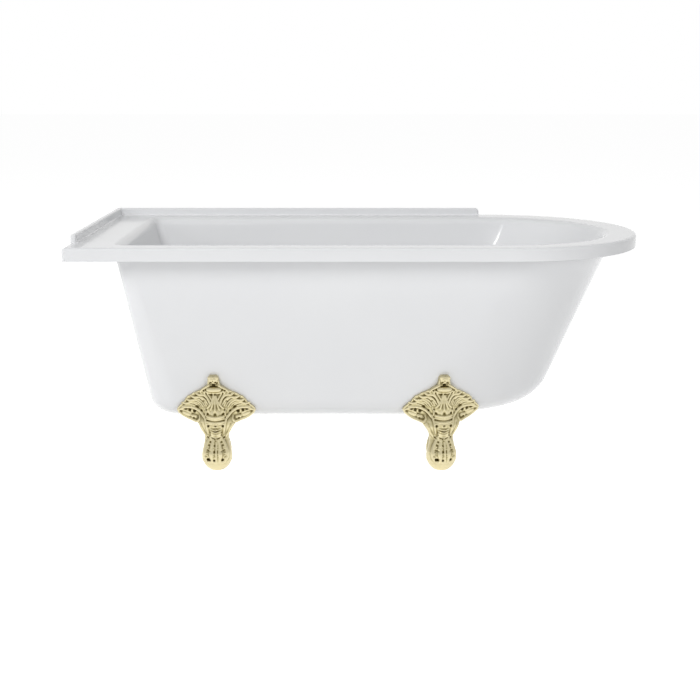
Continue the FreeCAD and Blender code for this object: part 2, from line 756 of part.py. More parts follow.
def make_lug():
    """The flat lug that the bolts pull up against the underside."""
    width = size("lug_width")
    thickness = size("lug_thickness")
    length = bolt_y + size("washer_radius") + size("lug_edge")
    lug = Part.makeBox(width, length, thickness, Vector(-width / 2, 0, skin_low_z - thickness))
    return lug.cut(bolt_holes(size("bolt_hole") / 2, 0, skin_low_z + 1))


def make_foot(where):
    """One casting in its place, trimmed to the bath's skin and flat on top of its pad."""
    ball_radius = size("foot_ball_radius")
    ball = Part.makeSphere(ball_radius, Vector(0, -size("foot_ball_forward"), ball_radius))
    foot = make_bracket().multiFuse([make_leg(), ball, make_lug()] + make_toes())
    span = size("foot_wing_span")
    base = Part.makeBox(span, span, size("pad_thickness"), Vector(-span / 2, -span / 2, 0))
    foot = in_bath(foot.cut(base), where)
    foot = foot.cut(skin_solid(size("foot_fit"), skin_low_z))
    return foot.removeSplitter()


for where in FEET:
    feature(f"foot_{where}", make_foot(where))


# Pads and fixings: each group is one piece repeated at every foot


def group(name, shapes):
    """One node that holds several separate, identical solids."""
    return feature(name, Part.makeCompound(shapes))


pad_spot = Vector(0, -size("foot_ball_forward"), 0)
pad = Part.makeCylinder(size("pad_radius"), size("pad_thickness"), pad_spot)
group("foot_pads", [in_bath(pad, where) for where in FEET])


def ring_shape(outer, inner, low_z, height):
    """A plain ring about the Z axis."""
    ring = Part.makeCylinder(outer, height, Vector(0, 0, low_z))
    return ring.cut(Part.makeCylinder(inner, height, Vector(0, 0, low_z)))


def hexagon(flats, low_z, height):
    """A hexagonal prism about the Z axis."""
    radius = flats / math.sqrt(3)
    corners = []
    for turn in range(7):
        angle = turn * math.pi / 3
        corners.append(Vector(radius * math.cos(angle), radius * math.sin(angle), low_z))
    return Part.Face(Part.makePolygon(corners)).extrude(Vector(0, 0, height))


lug_low_z = skin_low_z - size("lug_thickness")
head_top_z = lug_low_z - size("washer_thickness")
bolt_radius = size("bolt_diameter") / 2
washer_shape = ring_shape(size("washer_radius"), size("bolt_hole") / 2, head_top_z, size("washer_thickness"))
shank = Part.makeCylinder(bolt_radius, size("bolt_length"), Vector(0, 0, head_top_z))
bolt_shape = shank.fuse(hexagon(size("bolt_flats"), head_top_z - size("bolt_head"), size("bolt_head")))
insert_bore = bolt_radius + size("thread_clearance")
insert_low_z = board_low_z - size("insert_length")
insert_barrel = ring_shape(size("insert_barrel") / 2, insert_bore, insert_low_z, size("insert_length"))
insert_cap_z = board_low_z - size("insert_flange_height")
insert_cap = ring_shape(size("insert_flange"), insert_bore, insert_cap_z, size("insert_flange_height"))
insert_shape = insert_barrel.fuse(insert_cap).removeSplitter()


def at_bolts(shape):
    """A fixing repeated at both bolts of every foot."""
    copies = []
    for where in FEET:
        for spot in BOLT_SPOTS:
            copies.append(in_bath(shape.translated(spot), where))
    return copies


group("foot_bolts", at_bolts(bolt_shape))
group("foot_washers", at_bolts(washer_shape))
group("foot_insert_nuts", at_bolts(insert_shape))


# The waste: flange and threaded tail, its washers, the overflow tee, the backnut and the sprung plug.
# Heights in these profiles are from the basin floor's top face.

waste_place = Placement(Vector(waste_centre_x, middle_y, floor_z), Rotation())
flange_top = "seal_thickness + waste_flange_height"
under = "-shell_wall"
tee_top = f"{under} - seal_thickness"
tee_low = f"{tee_top} - tee_height"
nut_low = f"{tee_low} - backnut_height"

turned(
    "waste_seal_upper",
    [
        ("waste_thread_radius + thread_clearance", "0 * waste_tail"),
        ("waste_flange_radius - 2 * seal_thickness", "0 * waste_tail"),
        ("waste_flange_radius - 2 * seal_thickness", "seal_thickness"),
        ("waste_thread_radius + thread_clearance", "seal_thickness"),
    ],
    waste_place,
)
turned(
    "waste_seal_lower",
    [
        ("waste_thread_radius + waste_hole_gap", tee_top),
        ("tee_radius - seal_thickness", tee_top),
        ("tee_radius - seal_thickness", under),
        ("waste_thread_radius + waste_hole_gap", under),
    ],
    waste_place,
)
turned(
    "waste_backnut",
    [
        ("waste_thread_radius + thread_clearance", nut_low),
        ("backnut_radius", nut_low),
        ("backnut_radius", tee_low),
        ("waste_thread_radius + thread_clearance", tee_low),
    ],
    waste_place,
)


def make_waste_flange():
    """Flange, threaded tail with two overflow slots, and the cross that carries the plug's cartridge."""
    thread = size("waste_thread_radius")
    bore = size("waste_bore_radius")
    seal = size("seal_thickness")
    nut_z = -size("shell_wall") - seal - size("tee_height") - size("backnut_height")
    thread_top = nut_z - size("waste_groove")
    low = thread_top - size("waste_tail")
    flange = Part.makeCylinder(size("waste_flange_radius"), size("waste_flange_height"), Vector(0, 0, seal))
    top_rim = [edge for edge in flange.Edges if edge.BoundBox.ZMin > seal + 0.1]
    flange = flange.makeFillet(size("waste_flange_height") * 0.6, top_rim)
    tail = Part.makeCylinder(thread, seal - low, Vector(0, 0, low))
    groove = ring_shape(thread + 1, thread - size("waste_groove_depth"), thread_top, size("waste_groove"))
    solid = flange.fuse(tail).cut(groove)
    solid = solid.cut(Part.makeCylinder(bore, 2 * (seal - low), Vector(0, 0, low - 1)))
    cross_top = seal - size("plug_travel")
    boss_height = size("cartridge_length") / 3
    arm = thread - bore
    cross_low = cross_top - boss_height
    cross = Part.makeCylinder(size("cartridge_radius") + arm, boss_height, Vector(0, 0, cross_low))
    for angle in (45, 135):
        bar = Part.makeBox(2 * bore + arm, arm, boss_height, Vector(-bore - arm / 2, -arm / 2, 0))
        bar.Placement = Placement(Vector(0, 0, cross_low), Rotation(Vector(0, 0, 1), angle))
        cross = cross.fuse(bar)
    seat = size("cartridge_radius") + size("thread_clearance")
    cross = cross.cut(Part.makeCylinder(seat, -low, Vector(0, 0, low)))
    solid = solid.fuse(cross)
    port = port_z - floor_z
    slot_height = 2 * size("spigot_radius")
    slot_low = port - slot_height / 2
    slot = Part.makeBox(3 * thread, bore, slot_height, Vector(-1.5 * thread, -bore / 2, slot_low))
    solid = solid.cut(slot.cut(Part.makeCylinder(bore - 1, -low, Vector(0, 0, low))))
    solid.Placement = waste_place
    return solid.removeSplitter()


feature("waste_flange", make_waste_flange())

cross_top = "seal_thickness - plug_travel"
cartridge_low = f"{cross_top} - cartridge_length"
cap_low = f"{flange_top} + seal_thickness"
stem_bore = "stem_radius + running_clearance"
collar = "cartridge_radius + seal_thickness"
turned(
    "plug_cartridge",
    [
        (stem_bore, cartridge_low),
        ("cartridge_radius", cartridge_low),
        ("cartridge_radius", cross_top),
        (collar, cross_top),
        (collar, f"{cross_top} + seal_thickness"),
        (stem_bore, f"{cross_top} + seal_thickness"),
    ],
    waste_place,
)
stem_foot = "cartridge_radius - seal_thickness / 2"
stem_stop = f"{cartridge_low} - plug_travel - seal_thickness"
turned(
    "plug_stem",
    [
        ("0 * stem_radius", f"{stem_stop} - plug_height"),
        (stem_foot, f"{stem_stop} - plug_height"),
        (stem_foot, stem_stop),
        ("stem_radius", stem_stop),
        ("stem_radius", cap_low),
        ("0 * stem_radius", cap_low),
    ],
    waste_place,
)
turned(
    "plug_seal",
    [
        ("waste_bore_radius + seal_thickness", flange_top),
        ("plug_radius - 2 * seal_thickness", flange_top),
        ("plug_radius - 2 * seal_thickness", cap_low),
        ("waste_bore_radius + seal_thickness", cap_low),
    ],
    waste_place,
)
turned(
    "waste_plug",
    [
        ("0 * plug_radius", cap_low),
        ("plug_radius", cap_low),
        ("plug_radius", f"{cap_low} + plug_height / 2"),
        ("plug_radius * 0.84", f"{cap_low} + plug_height * 0.85"),
        ("plug_radius * 0.4", f"{cap_low} + plug_height"),
        ("0 * plug_radius", f"{cap_low} + plug_height"),
    ],
    waste_place,
)


# The overflow: plate and screw inside the basin, elbow behind the wall, pipe down to the tee

tee_left_x = waste_centre_x - size("tee_radius")


def make_overflow_tee():
    """A collar round the tail with a ring-shaped passage inside and a spigot towards the square end."""
    thread = size("waste_thread_radius")
    top = floor_under_z - size("seal_thickness")
    low = top - size("tee_height")
    radius = size("tee_radius")
    collar_solid = hole(radius, waste_centre_x, middle_y, low, top)
    wall = size("waste_thread_radius") - size("waste_bore_radius")
    passage = hole(radius - wall, waste_centre_x, middle_y, low + 2 * wall, top - 2 * wall)
    reach = 2 * size("pipe_radius")
    along = Vector(1, 0, 0)
    port_start = Vector(tee_left_x - reach, middle_y, port_z)
    port = Part.makeCylinder(size("spigot_radius"), reach + wall, port_start, along)
    tee = collar_solid.fuse(port).cut(passage)
    tee = tee.cut(hole(thread + size("thread_clearance"), waste_centre_x, middle_y, low - 1, top + 1))
    drain = Part.makeCylinder(size("spigot_bore"), reach + 3 * wall, port_start, along)
    return tee.cut(drain)


feature("overflow_tee", make_overflow_tee())

plate_back = "overflow_stand - waste_flange_height"
screw_hole = "overflow_screw_radius + thread_clearance"
turned(
    "overflow_plate",
    [
        (screw_hole, plate_back),
        ("overflow_radius - waste_flange_height", plate_back),
        ("overflow_radius - waste_flange_height", "0 * overflow_radius"),
        ("overflow_radius", "0 * overflow_radius"),
        ("overflow_radius", "overflow_stand * 0.7"),
        ("overflow_radius * 0.9", "overflow_stand"),
        (screw_hole, "overflow_stand"),
    ],
    overflow_place,
)
behind = "-shell_wall - seal_thickness"
cup_back = f"{behind} - overflow_cup_depth"
screw_tip = f"{cup_back} + 2 * seal_thickness"
turned(
    "overflow_screw",
    [
        ("0 * overflow_radius", screw_tip),
        ("overflow_screw_radius", screw_tip),
        ("overflow_screw_radius", "overflow_stand"),
        ("2 * overflow_screw_radius", "overflow_stand"),
        ("2 * overflow_screw_radius", "overflow_stand + overflow_screw_radius * 0.5"),
        ("overflow_screw_radius", "overflow_stand + overflow_screw_radius"),
        ("0 * overflow_radius", "overflow_stand + overflow_screw_radius"),
    ],
    overflow_place,
)
turned(
    "overflow_seal",
    [
        ("overflow_hole + seal_thickness / 2", behind),
        ("overflow_cup_radius", behind),
        ("overflow_cup_radius", "-shell_wall"),
        ("overflow_hole + seal_thickness / 2", "-shell_wall"),
    ],
    overflow_place,
)


def pipe_centre_behind():
    """How far behind the basin wall's inner face the overflow pipe's centre line runs."""
    return size("shell_wall") + size("pipe_radius") + size("batten_gap") / 3


def make_overflow_elbow():
    """A shallow cup with a threaded boss in the middle and a spigot down into the pipe."""
    seal = size("seal_thickness")
    radius = size("overflow_cup_radius")
    front = -size("shell_wall") - seal
    depth = size("overflow_cup_depth")
    back = front - depth
    cup = Part.makeCylinder(radius, depth, Vector(0, 0, back))
    spigot_start = Vector(radius / 2, 0, -pipe_centre_behind())
    reach = radius / 2 + 3 * size("pipe_radius")
    spigot = Part.makeCylinder(size("spigot_radius"), reach, spigot_start, Vector(1, 0, 0))
    elbow = cup.fuse(spigot)
    elbow = elbow.cut(Part.makeCylinder(radius - seal, depth, Vector(0, 0, back + seal)))
    boss = Part.makeCylinder(2 * size("overflow_screw_radius"), depth - 2 * seal, Vector(0, 0, back))
    elbow = elbow.fuse(boss)
    bore = Part.makeCylinder(size("spigot_bore"), 2 * reach, spigot_start, Vector(1, 0, 0))
    screw_bore = Part.makeCylinder(
        size("overflow_screw_radius") + size("thread_clearance"), depth, Vector(0, 0, back + seal)
    )
    elbow = elbow.cut(bore).cut(screw_bore)
    elbow.Placement = overflow_place
    return elbow.removeSplitter()


feature("overflow_elbow", make_overflow_elbow())


def make_overflow_pipe():
    """The pipe from the tee to the elbow: a level run and a sloping run joined by a bend."""
    slope = math.radians(size("basin_slope_left"))
    gap = size("foot_fit")
    start = Vector(tee_left_x - gap, middle_y, port_z)
    down_wall = size("overflow_cup_radius") + gap
    top = overflow_place.multVec(Vector(down_wall, 0, -pipe_centre_behind()))
    corner_x = top.x + (top.z - port_z) * math.tan(slope)
    corner = Vector(corner_x, middle_y, port_z)
    turn = math.pi / 2 - slope
    tangent = size("pipe_bend") * math.tan(turn / 2)
    up = (top - corner).normalize()
    bend_start = corner + Vector(tangent, 0, 0)
    bend_end = corner + up * tangent
    inward = (up + Vector(1, 0, 0)).normalize()
    bend_middle = corner + inward * (size("pipe_bend") / math.cos(turn / 2) - size("pipe_bend"))
    path = Part.Wire([
        Part.LineSegment(start, bend_start).toShape(),
        Part.Arc(bend_start, bend_middle, bend_end).toShape(),
        Part.LineSegment(bend_end, top).toShape(),
    ])
    solids = []
    for radius in (size("pipe_radius"), size("pipe_bore")):
        section = Part.Wire(Part.Circle(start, Vector(1, 0, 0), radius).toShape())
        solids.append(path.makePipeShell([section], True, False))
    return solids[0].cut(solids[1])


feature("overflow_pipe", make_overflow_pipe())


# Every piece is checked before anything is written

doc.removeObject("formula_probe")
doc.recompute()
pieces = []
for item in doc.Objects:
    is_piece = item.TypeId in ("Part::Feature", "Part::Box", "PartDesign::Body")
    if any(word in item.State for word in ("Invalid", "Error")):
        raise RuntimeError(f"{item.Label} failed: {item.State}")
    if is_piece:
        if item.Shape.isNull() or not item.Shape.isValid() or item.Shape.Volume <= 0:
            raise RuntimeError(f"{item.Label} has no sound shape")
        pieces.append(item)

os.makedirs("parts", exist_ok=True)
for item in pieces:
    item.Shape.exportStep(f"parts/{item.Label}.step")
    print(f"{item.Label}: {len(item.Shape.Solids)} solids, {item.Shape.Volume / 1000:.1f} cm3")
print(f"{len(pieces)} pieces")
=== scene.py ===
# %% [markdown]
# # A shower bath on four claw feet
# The real bath is made of two sheets of white acrylic, drawn over moulds: a basin with its deck and rim,
# and an outer skin bonded underneath. It stands on four cast feet with a polished pale gold plating.
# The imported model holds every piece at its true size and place. This lesson keeps the plain hardware as
# it is, models again the pieces whose look lives in long curves or in carving, and gives each its finish.

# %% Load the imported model
import json
import math

import bmesh
import bpy
import numpy as np
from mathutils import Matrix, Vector


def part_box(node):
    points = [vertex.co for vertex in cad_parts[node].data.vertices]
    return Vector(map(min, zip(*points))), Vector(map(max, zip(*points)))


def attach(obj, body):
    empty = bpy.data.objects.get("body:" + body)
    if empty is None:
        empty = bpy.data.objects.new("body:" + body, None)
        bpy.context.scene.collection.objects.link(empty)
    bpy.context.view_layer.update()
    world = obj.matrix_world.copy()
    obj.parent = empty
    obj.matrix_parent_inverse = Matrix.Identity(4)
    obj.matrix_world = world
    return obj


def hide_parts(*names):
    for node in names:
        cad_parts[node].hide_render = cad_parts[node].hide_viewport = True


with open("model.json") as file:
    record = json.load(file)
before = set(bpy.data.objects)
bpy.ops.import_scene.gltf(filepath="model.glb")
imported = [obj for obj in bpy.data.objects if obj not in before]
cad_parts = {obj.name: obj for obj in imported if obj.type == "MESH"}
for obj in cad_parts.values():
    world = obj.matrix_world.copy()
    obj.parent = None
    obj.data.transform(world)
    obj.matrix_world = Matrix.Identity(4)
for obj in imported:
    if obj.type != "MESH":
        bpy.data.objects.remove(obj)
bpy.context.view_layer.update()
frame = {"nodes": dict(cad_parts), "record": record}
print("pieces in the packed model:", len(frame["nodes"]))

# %% [markdown]
# ## Finishes
# Every finish is a small network of nodes on one principled shader. Colours are written as sRGB hex
# values, as a colour card gives them, and turned to the linear values that the shader works in.
# Each pattern takes its scale from a real size in millimetres.

# %% Helpers for colours and nodes
MM = 0.001


def linear(hex_colour):
    """An sRGB hex colour as linear red, green, blue and alpha."""
    channels = [int(hex_colour[i : i + 2], 16) / 255 for i in (1, 3, 5)]
    return [c / 12.92 if c <= 0.04045 else ((c + 0.055) / 1.055) ** 2.4 for c in channels] + [1.0]


def add_node(tree, kind, settings=None, **links):
    """Adds a node. Settings are attributes or socket values, links name the sockets to feed."""
    node = tree.nodes.new(kind)
    for name, value in (settings or {}).items():
        if name in node.inputs:
            node.inputs[name].default_value = value
        else:
            setattr(node, name, value)
    for name, source in links.items():
        which = int(name[1:]) if name[1:].isdigit() else name.replace("_", " ")
        tree.links.new(source, node.inputs[which])
    return node


def new_finish(name, settings):
    """An empty material with one principled shader, and that shader."""
    finish = bpy.data.materials.new(name)
    finish.use_nodes = True
    shader = finish.node_tree.nodes["Principled BSDF"]
    for socket, value in settings.items():
        shader.inputs[socket].default_value = value
    return finish, finish.node_tree, shader


def per_metre(millimetres):
    """The scale of a texture whose features are this many millimetres across."""
    return 1 / (millimetres * MM)


print("a middle grey in linear values:", [round(c, 3) for c in linear("#808080")])

# %% [markdown]
# ### Sanitary acrylic
# The sheet is cast, then drawn over a mould while hot, which leaves it glossy with a long, soft waviness
# that only reflections show. A faint bump 60 mm across draws that. The white drifts a little over 250 mm,
# and a grain of 1.5 mm, drawn coarser than the real one so that it shows, varies the gloss.

# %% White acrylic
WAVE_MM, GRAIN_MM, DRIFT_MM = 60, 1.5, 250
WHITE_LOW, WHITE_HIGH = "#E4E5E7", "#E9EAEB"


def make_white_acrylic():
    gloss_coat = {"IOR": 1.49, "Coat Weight": 0.25, "Coat Roughness": 0.04}
    finish, tree, shader = new_finish("sanitary_acrylic", gloss_coat)
    place = add_node(tree, "ShaderNodeTexCoord").outputs["Object"]
    noise = "ShaderNodeTexNoise"
    waves = add_node(tree, noise, {"Scale": per_metre(WAVE_MM), "Detail": 1.0}, Vector=place)
    grain = add_node(tree, noise, {"Scale": per_metre(GRAIN_MM), "Detail": 2.0}, Vector=place)
    drift = add_node(tree, noise, {"Scale": per_metre(DRIFT_MM), "Detail": 2.0}, Vector=place)
    white = add_node(tree, "ShaderNodeMix", {"data_type": "RGBA"}, _0=drift.outputs["Fac"])
    white.inputs[6].default_value = linear(WHITE_LOW)
    white.inputs[7].default_value = linear(WHITE_HIGH)
    tree.links.new(white.outputs[2], shader.inputs["Base Color"])
    gloss = add_node(tree, "ShaderNodeMapRange", {"To Min": 0.10, "To Max": 0.16}, Value=grain.outputs["Fac"])
    tree.links.new(gloss.outputs["Result"], shader.inputs["Roughness"])
    relief = {"Strength": 0.1, "Distance": 0.03 * MM}
    bump = add_node(tree, "ShaderNodeBump", relief, Height=waves.outputs["Fac"])
    tree.links.new(bump.outputs["Normal"], shader.inputs["Normal"])
    return finish


white_acrylic = make_white_acrylic()
print("finish:", white_acrylic.name)

# %% [markdown]
# ### Pale gold castings
# The feet are cast in aluminium, polished and plated in a pale champagne gold. Shade is painted into the
# hollows: a mesh attribute, worked out from the carved mesh below, tells the high places from the deep
# ones, and the deep ones get a darker, browner gold as painted shade. The turned brass of the waste and the
# overflow carries the same plating, has no hollows and gets no painted shade.

# %% Gold castings and gold brass
GOLD_HIGH = "#CAC09C"
GOLD_BODY = "#B3A981"
# The deepest gold is painted shade: the stops darken the gold from the high places into the hollows.
GOLD_PAINTED_SHADE = "#574C2B"
PAINTED_SHADE_STOPS = [(0.0, GOLD_HIGH), (0.43, GOLD_HIGH), (0.56, GOLD_BODY), (0.82, GOLD_PAINTED_SHADE)]
SAND_MM, CLOUD_MM = 2.5, 18


def make_gold(name, carved):
    finish, tree, shader = new_finish(name, {"Metallic": 1.0})
    place = add_node(tree, "ShaderNodeTexCoord").outputs["Object"]
    noise = "ShaderNodeTexNoise"
    sand = add_node(tree, noise, {"Scale": per_metre(SAND_MM), "Detail": 3.0}, Vector=place)
    cloud = add_node(tree, noise, {"Scale": per_metre(CLOUD_MM), "Detail": 2.0}, Vector=place)
    if carved:
        # In the carving, the hollow attribute picks a darker gold in the recesses: painted shade.
        depth = add_node(tree, "ShaderNodeAttribute", {"attribute_name": "hollow_shade"}).outputs["Fac"]
        tone = add_node(tree, "ShaderNodeValToRGB", {}, Fac=depth)
        ramp = tone.color_ramp
        ramp.elements[0].position = PAINTED_SHADE_STOPS[0][0]
        ramp.elements[1].position = PAINTED_SHADE_STOPS[-1][0]
        for position, _ in PAINTED_SHADE_STOPS[1:-1]:
            ramp.elements.new(position)
        for element, (_, gold) in zip(ramp.elements, PAINTED_SHADE_STOPS, strict=True):
            element.color = linear(gold)
        colour = tone.outputs["Color"]
    else:
        tone = add_node(tree, "ShaderNodeMix", {"data_type": "RGBA"}, _0=cloud.outputs["Fac"])
        tone.inputs[6].default_value = linear(GOLD_HIGH)
        tone.inputs[7].default_value = linear(GOLD_BODY)
        colour = tone.outputs[2]
    tree.links.new(colour, shader.inputs["Base Color"])
    rough = add_node(tree, "ShaderNodeMapRange", {"To Min": 0.24, "To Max": 0.38}, Value=cloud.outputs["Fac"])
    tree.links.new(rough.outputs["Result"], shader.inputs["Roughness"])
    relief = {"Strength": 0.25, "Distance": 0.15 * MM}
    bump = add_node(tree, "ShaderNodeBump", relief, Height=sand.outputs["Fac"])
    tree.links.new(bump.outputs["Normal"], shader.inputs["Normal"])
    return finish


gold_casting = make_gold("gold_plated_casting", carved=True)
gold_brass = make_gold("gold_plated_brass", carved=False)
print("finishes:", gold_casting.name, gold_brass.name)

# %% [markdown]
# ### Hidden hardware
# Under the bath are chipboard and softwood, zinc plated steel, moulded plumbing plastic and rubber.
# They are seen only from below or behind, but each gets its own surface: flakes in the board, the
# streaks of a bright zinc bath, a fine moulding grain, and the dull skin of rubber.

# %% Board, zinc, plastic and rubber
def speckled(name, dark, light, size_mm, settings, stretch, rough, bump_mm):
    """Two colours mixed by a noise of one real size, which also gives the gloss and the relief."""
    finish, tree, shader = new_finish(name, settings)
    place = add_node(tree, "ShaderNodeTexCoord").outputs["Object"]
    along = add_node(tree, "ShaderNodeMapping", {"Scale": stretch}, Vector=place).outputs["Vector"]
    flecks = add_node(tree, "ShaderNodeTexNoise", {"Scale": per_metre(size_mm), "Detail": 4.0}, Vector=along)
    mix = add_node(tree, "ShaderNodeMix", {"data_type": "RGBA"}, _0=flecks.outputs["Fac"])
    mix.inputs[6].default_value = linear(dark)
    mix.inputs[7].default_value = linear(light)
    tree.links.new(mix.outputs[2], shader.inputs["Base Color"])
    span = {"To Min": rough[0], "To Max": rough[1]}
    gloss = add_node(tree, "ShaderNodeMapRange", span, Value=flecks.outputs["Fac"])
    tree.links.new(gloss.outputs["Result"], shader.inputs["Roughness"])
    relief = {"Strength": 0.5, "Distance": bump_mm * MM}
    bump = add_node(tree, "ShaderNodeBump", relief, Height=flecks.outputs["Fac"])
    tree.links.new(bump.outputs["Normal"], shader.inputs["Normal"])
    return finish


chipboard = speckled(
    "chipboard", "#8A6840", "#D8B888", 5, {"IOR": 1.5}, (0.3, 1, 1), rough=(0.6, 0.85), bump_mm=0.3
)
bright_zinc = speckled(
    "bright_zinc", "#A9ACB0", "#CDD0D3", 6, {"Metallic": 1.0}, (1, 1, 0.2), rough=(0.25, 0.45), bump_mm=0.02
)
moulded_plastic = speckled(
    "moulded_plastic", "#CFCEC8", "#DAD9D4", 1.2, {"IOR": 1.46}, (1, 1, 1), rough=(0.38, 0.5), bump_mm=0.03
)
black_rubber = speckled(
    "moulded_rubber", "#151515", "#2A2A29", 2, {"IOR": 1.52}, (1, 1, 1), rough=(0.65, 0.85), bump_mm=0.08
)

FINISHES = {
    "white_acrylic": white_acrylic,
    "gold_casting": gold_casting,
    "gold_brass": gold_brass,
    "timber_board": chipboard,
    "zinc_steel": bright_zinc,
    "black_rubber": black_rubber,
    "white_fitting": moulded_plastic,
}
for part in frame["record"]["subparts"]:
    mesh = frame["nodes"][part["node"]].data
    mesh.materials.clear()
    mesh.materials.append(FINISHES[part["material_slot"]])

# %% [markdown]
# ## The two acrylic sheets
# A moulded bath is one family of outlines stacked from the rim to the floor: a square left end, straight
# sides and a round right end. Walls lean in by their own draft angle at each end, and are joined to the
# deck and to the floor by generous roundings. So the surface is built as rings of points that all have
# the same count, which gives an even mesh with no seams. Solid tools would give the same form, but
# with long thin triangles that a gloss finish shows at once.

# %% Sizes that the mouldings share
low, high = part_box("inner_shell")
LEFT, RIGHT, FRONT, BACK, DECK = low.x, high.x, low.y, high.y, high.z
SHEET = 5 * MM
FLOOR = low.z + SHEET
HALF = (BACK - FRONT) / 2
RIM_FACE = 34 * MM
RIM_LOW = DECK - RIM_FACE
SKIN_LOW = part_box("outer_shell")[0].z
DECK_WIDTHS = {"left": 111 * MM, "front": 52 * MM, "back": 75 * MM, "right": 70 * MM}
MIDDLE = (DECK_WIDTHS["front"] - DECK_WIDTHS["back"]) / 2
BASIN_HALF = HALF - (DECK_WIDTHS["front"] + DECK_WIDTHS["back"]) / 2
WASTE_FROM_LEFT = 360 * MM
WASTE = np.array([LEFT + WASTE_FROM_LEFT, MIDDLE])
print("rim", round(RIGHT - LEFT, 3), "x", round(BACK - FRONT, 3), "deck at", round(DECK, 3))

# %% Outlines as rings of points
STEPS = {"side": 56, "round": 128, "corner": 16, "end": 24}


def straight(start, stop, steps):
    share = np.linspace(0, 1, steps, endpoint=False)[:, None]
    return np.array(start) * (1 - share) + np.array(stop) * share


def bend(centre, along, across, first, last, steps):
    angle = np.radians(np.linspace(first, last, steps, endpoint=False))
    return np.column_stack((centre[0] + along * np.cos(angle), centre[1] + across * np.sin(angle)))


def outline(left, right, arc, half, corner, middle):
    """Plan points of a moulded outline. arc is where the round end starts."""
    low_y, high_y = middle - half, middle + half
    return np.vstack([
        straight((left + corner, low_y), (arc, low_y), STEPS["side"]),
        bend((arc, middle), right - arc, half, -90, 90, STEPS["round"]),
        straight((arc, high_y), (left + corner, high_y), STEPS["side"]),
        bend((left + corner, high_y - corner), corner, corner, 90, 180, STEPS["corner"]),
        straight((left, high_y - corner), (left, low_y + corner), STEPS["end"]),
        bend((left + corner, low_y + corner), corner, corner, 180, 270, STEPS["corner"]),
    ])


def end_shares():
    """For each outline point, how far it belongs to the left end, the sides and the round end."""
    turn = np.radians(np.linspace(-90, 90, STEPS["round"], endpoint=False))
    bow = np.radians(np.linspace(90, 180, STEPS["corner"], endpoint=False))
    side = np.tile([0.0, 1.0, 0.0], (STEPS["side"], 1))
    end = np.tile([1.0, 0.0, 0.0], (STEPS["end"], 1))
    tip = np.column_stack((0 * turn, np.sin(turn) ** 2, np.cos(turn) ** 2))
    corner = np.column_stack((np.cos(bow) ** 2, np.sin(bow) ** 2, 0 * bow))
    return np.vstack([side, tip, side, corner, end, corner[::-1]])


SHARES = end_shares()
print("points in each ring:", len(SHARES))


# %% Rings become a closed skin
def lifted(plan, heights):
    """A ring in space from plan points and one height, or one height for each end and the sides."""
    z = SHARES @ np.array(heights) if np.ndim(heights) else np.full(len(plan), heights)
    return np.column_stack((plan, z))


def between(first, last, shares):
    """Rings part of the way from one ring to another."""
    return [first * (1 - share) + last * share for share in shares]


def moulding(name, rings):
    """A closed skin through rings with the same number of points, the last one joined to the first."""
    count, points = len(rings[0]), np.vstack(rings)
    index = np.arange(len(points)).reshape(len(rings), count)
    following = np.roll(index, -1, axis=0)
    quads = np.stack((index, np.roll(index, -1, axis=1), np.roll(following, -1, axis=1), following), axis=-1)
    mesh = bpy.data.meshes.new(name)
    mesh.from_pydata(points.tolist(), [], quads.reshape(-1, 4).tolist())
    return finished(name, mesh, white_acrylic)


def tube_faces(rings, around):
    """The faces of rings stacked as a tube, closed by a lid at each end."""
    faces = []
    for i in range(rings - 1):
        for j in range(around):
            k = (j + 1) % around
            faces.append((i * around + j, i * around + k, (i + 1) * around + k, (i + 1) * around + j))
    faces.append(tuple(range(around)))
    faces.append(tuple(range((rings - 1) * around, rings * around)))
    return faces


def finished(name, mesh, finish, crease=32):
    """Puts a mesh in the scene with outward normals, smooth faces, crisp creases and its finish."""
    shape = bmesh.new()
    shape.from_mesh(mesh)
    bmesh.ops.recalc_face_normals(shape, faces=shape.faces)
    shape.to_mesh(mesh)
    shape.free()
    mesh.shade_smooth()
    mesh.set_sharp_from_angle(angle=math.radians(crease))
    mesh.materials.append(finish)
    piece = bpy.data.objects.new(name, mesh)
    bpy.context.collection.objects.link(piece)
    return piece


def applied(piece, kind, **settings):
    """Adds a modifier with its settings and makes its result the piece's own mesh."""
    modifier = piece.modifiers.new(kind.lower(), kind)
    for name, value in settings.items():
        setattr(modifier, name, value)
    evaluated = piece.evaluated_get(bpy.context.evaluated_depsgraph_get())
    old, piece.data = piece.data, bpy.data.meshes.new_from_object(evaluated)
    piece.modifiers.clear()
    bpy.data.meshes.remove(old)


ring_start = lifted(outline(LEFT, RIGHT, 0, HALF, 0.1, 0), DECK)[0]
print("a ring at the deck starts at", ring_start.round(3))

# %% [markdown]
# ### Inner sheet: basin, deck and rim
# The profile is drawn once for the left end, the sides and the round end, each with its own draft:
# 17, 12 and 26 degrees. It runs over the rim, across the deck, down into the basin and through the waste
# hole, and comes back underneath one sheet's thickness away.

# %% The basin's profile
DRAFTS = np.radians([17, 12, 26])
MOUTH_ROUND, FLOOR_ROUND = 26 * MM, 70 * MM
DEPTH = DECK - FLOOR
ARC_AT_DECK = DECK_WIDTHS["right"] + BASIN_HALF
ARC_AT_FLOOR = 600 * MM
CORNER_ABOVE, CORNER_AT_FLOOR = 20 * MM, 100 * MM
CORNER_KNEE = 220 * MM
mouth_reach = MOUTH_ROUND * np.tan((math.pi / 2 - DRAFTS) / 2)
floor_reach = mouth_reach + np.tan(DRAFTS) * DEPTH
floor_centre = floor_reach + FLOOR_ROUND * (1 / np.cos(DRAFTS) - np.tan(DRAFTS))
print("the walls reach in by", [round(float(reach), 3) for reach in floor_reach])


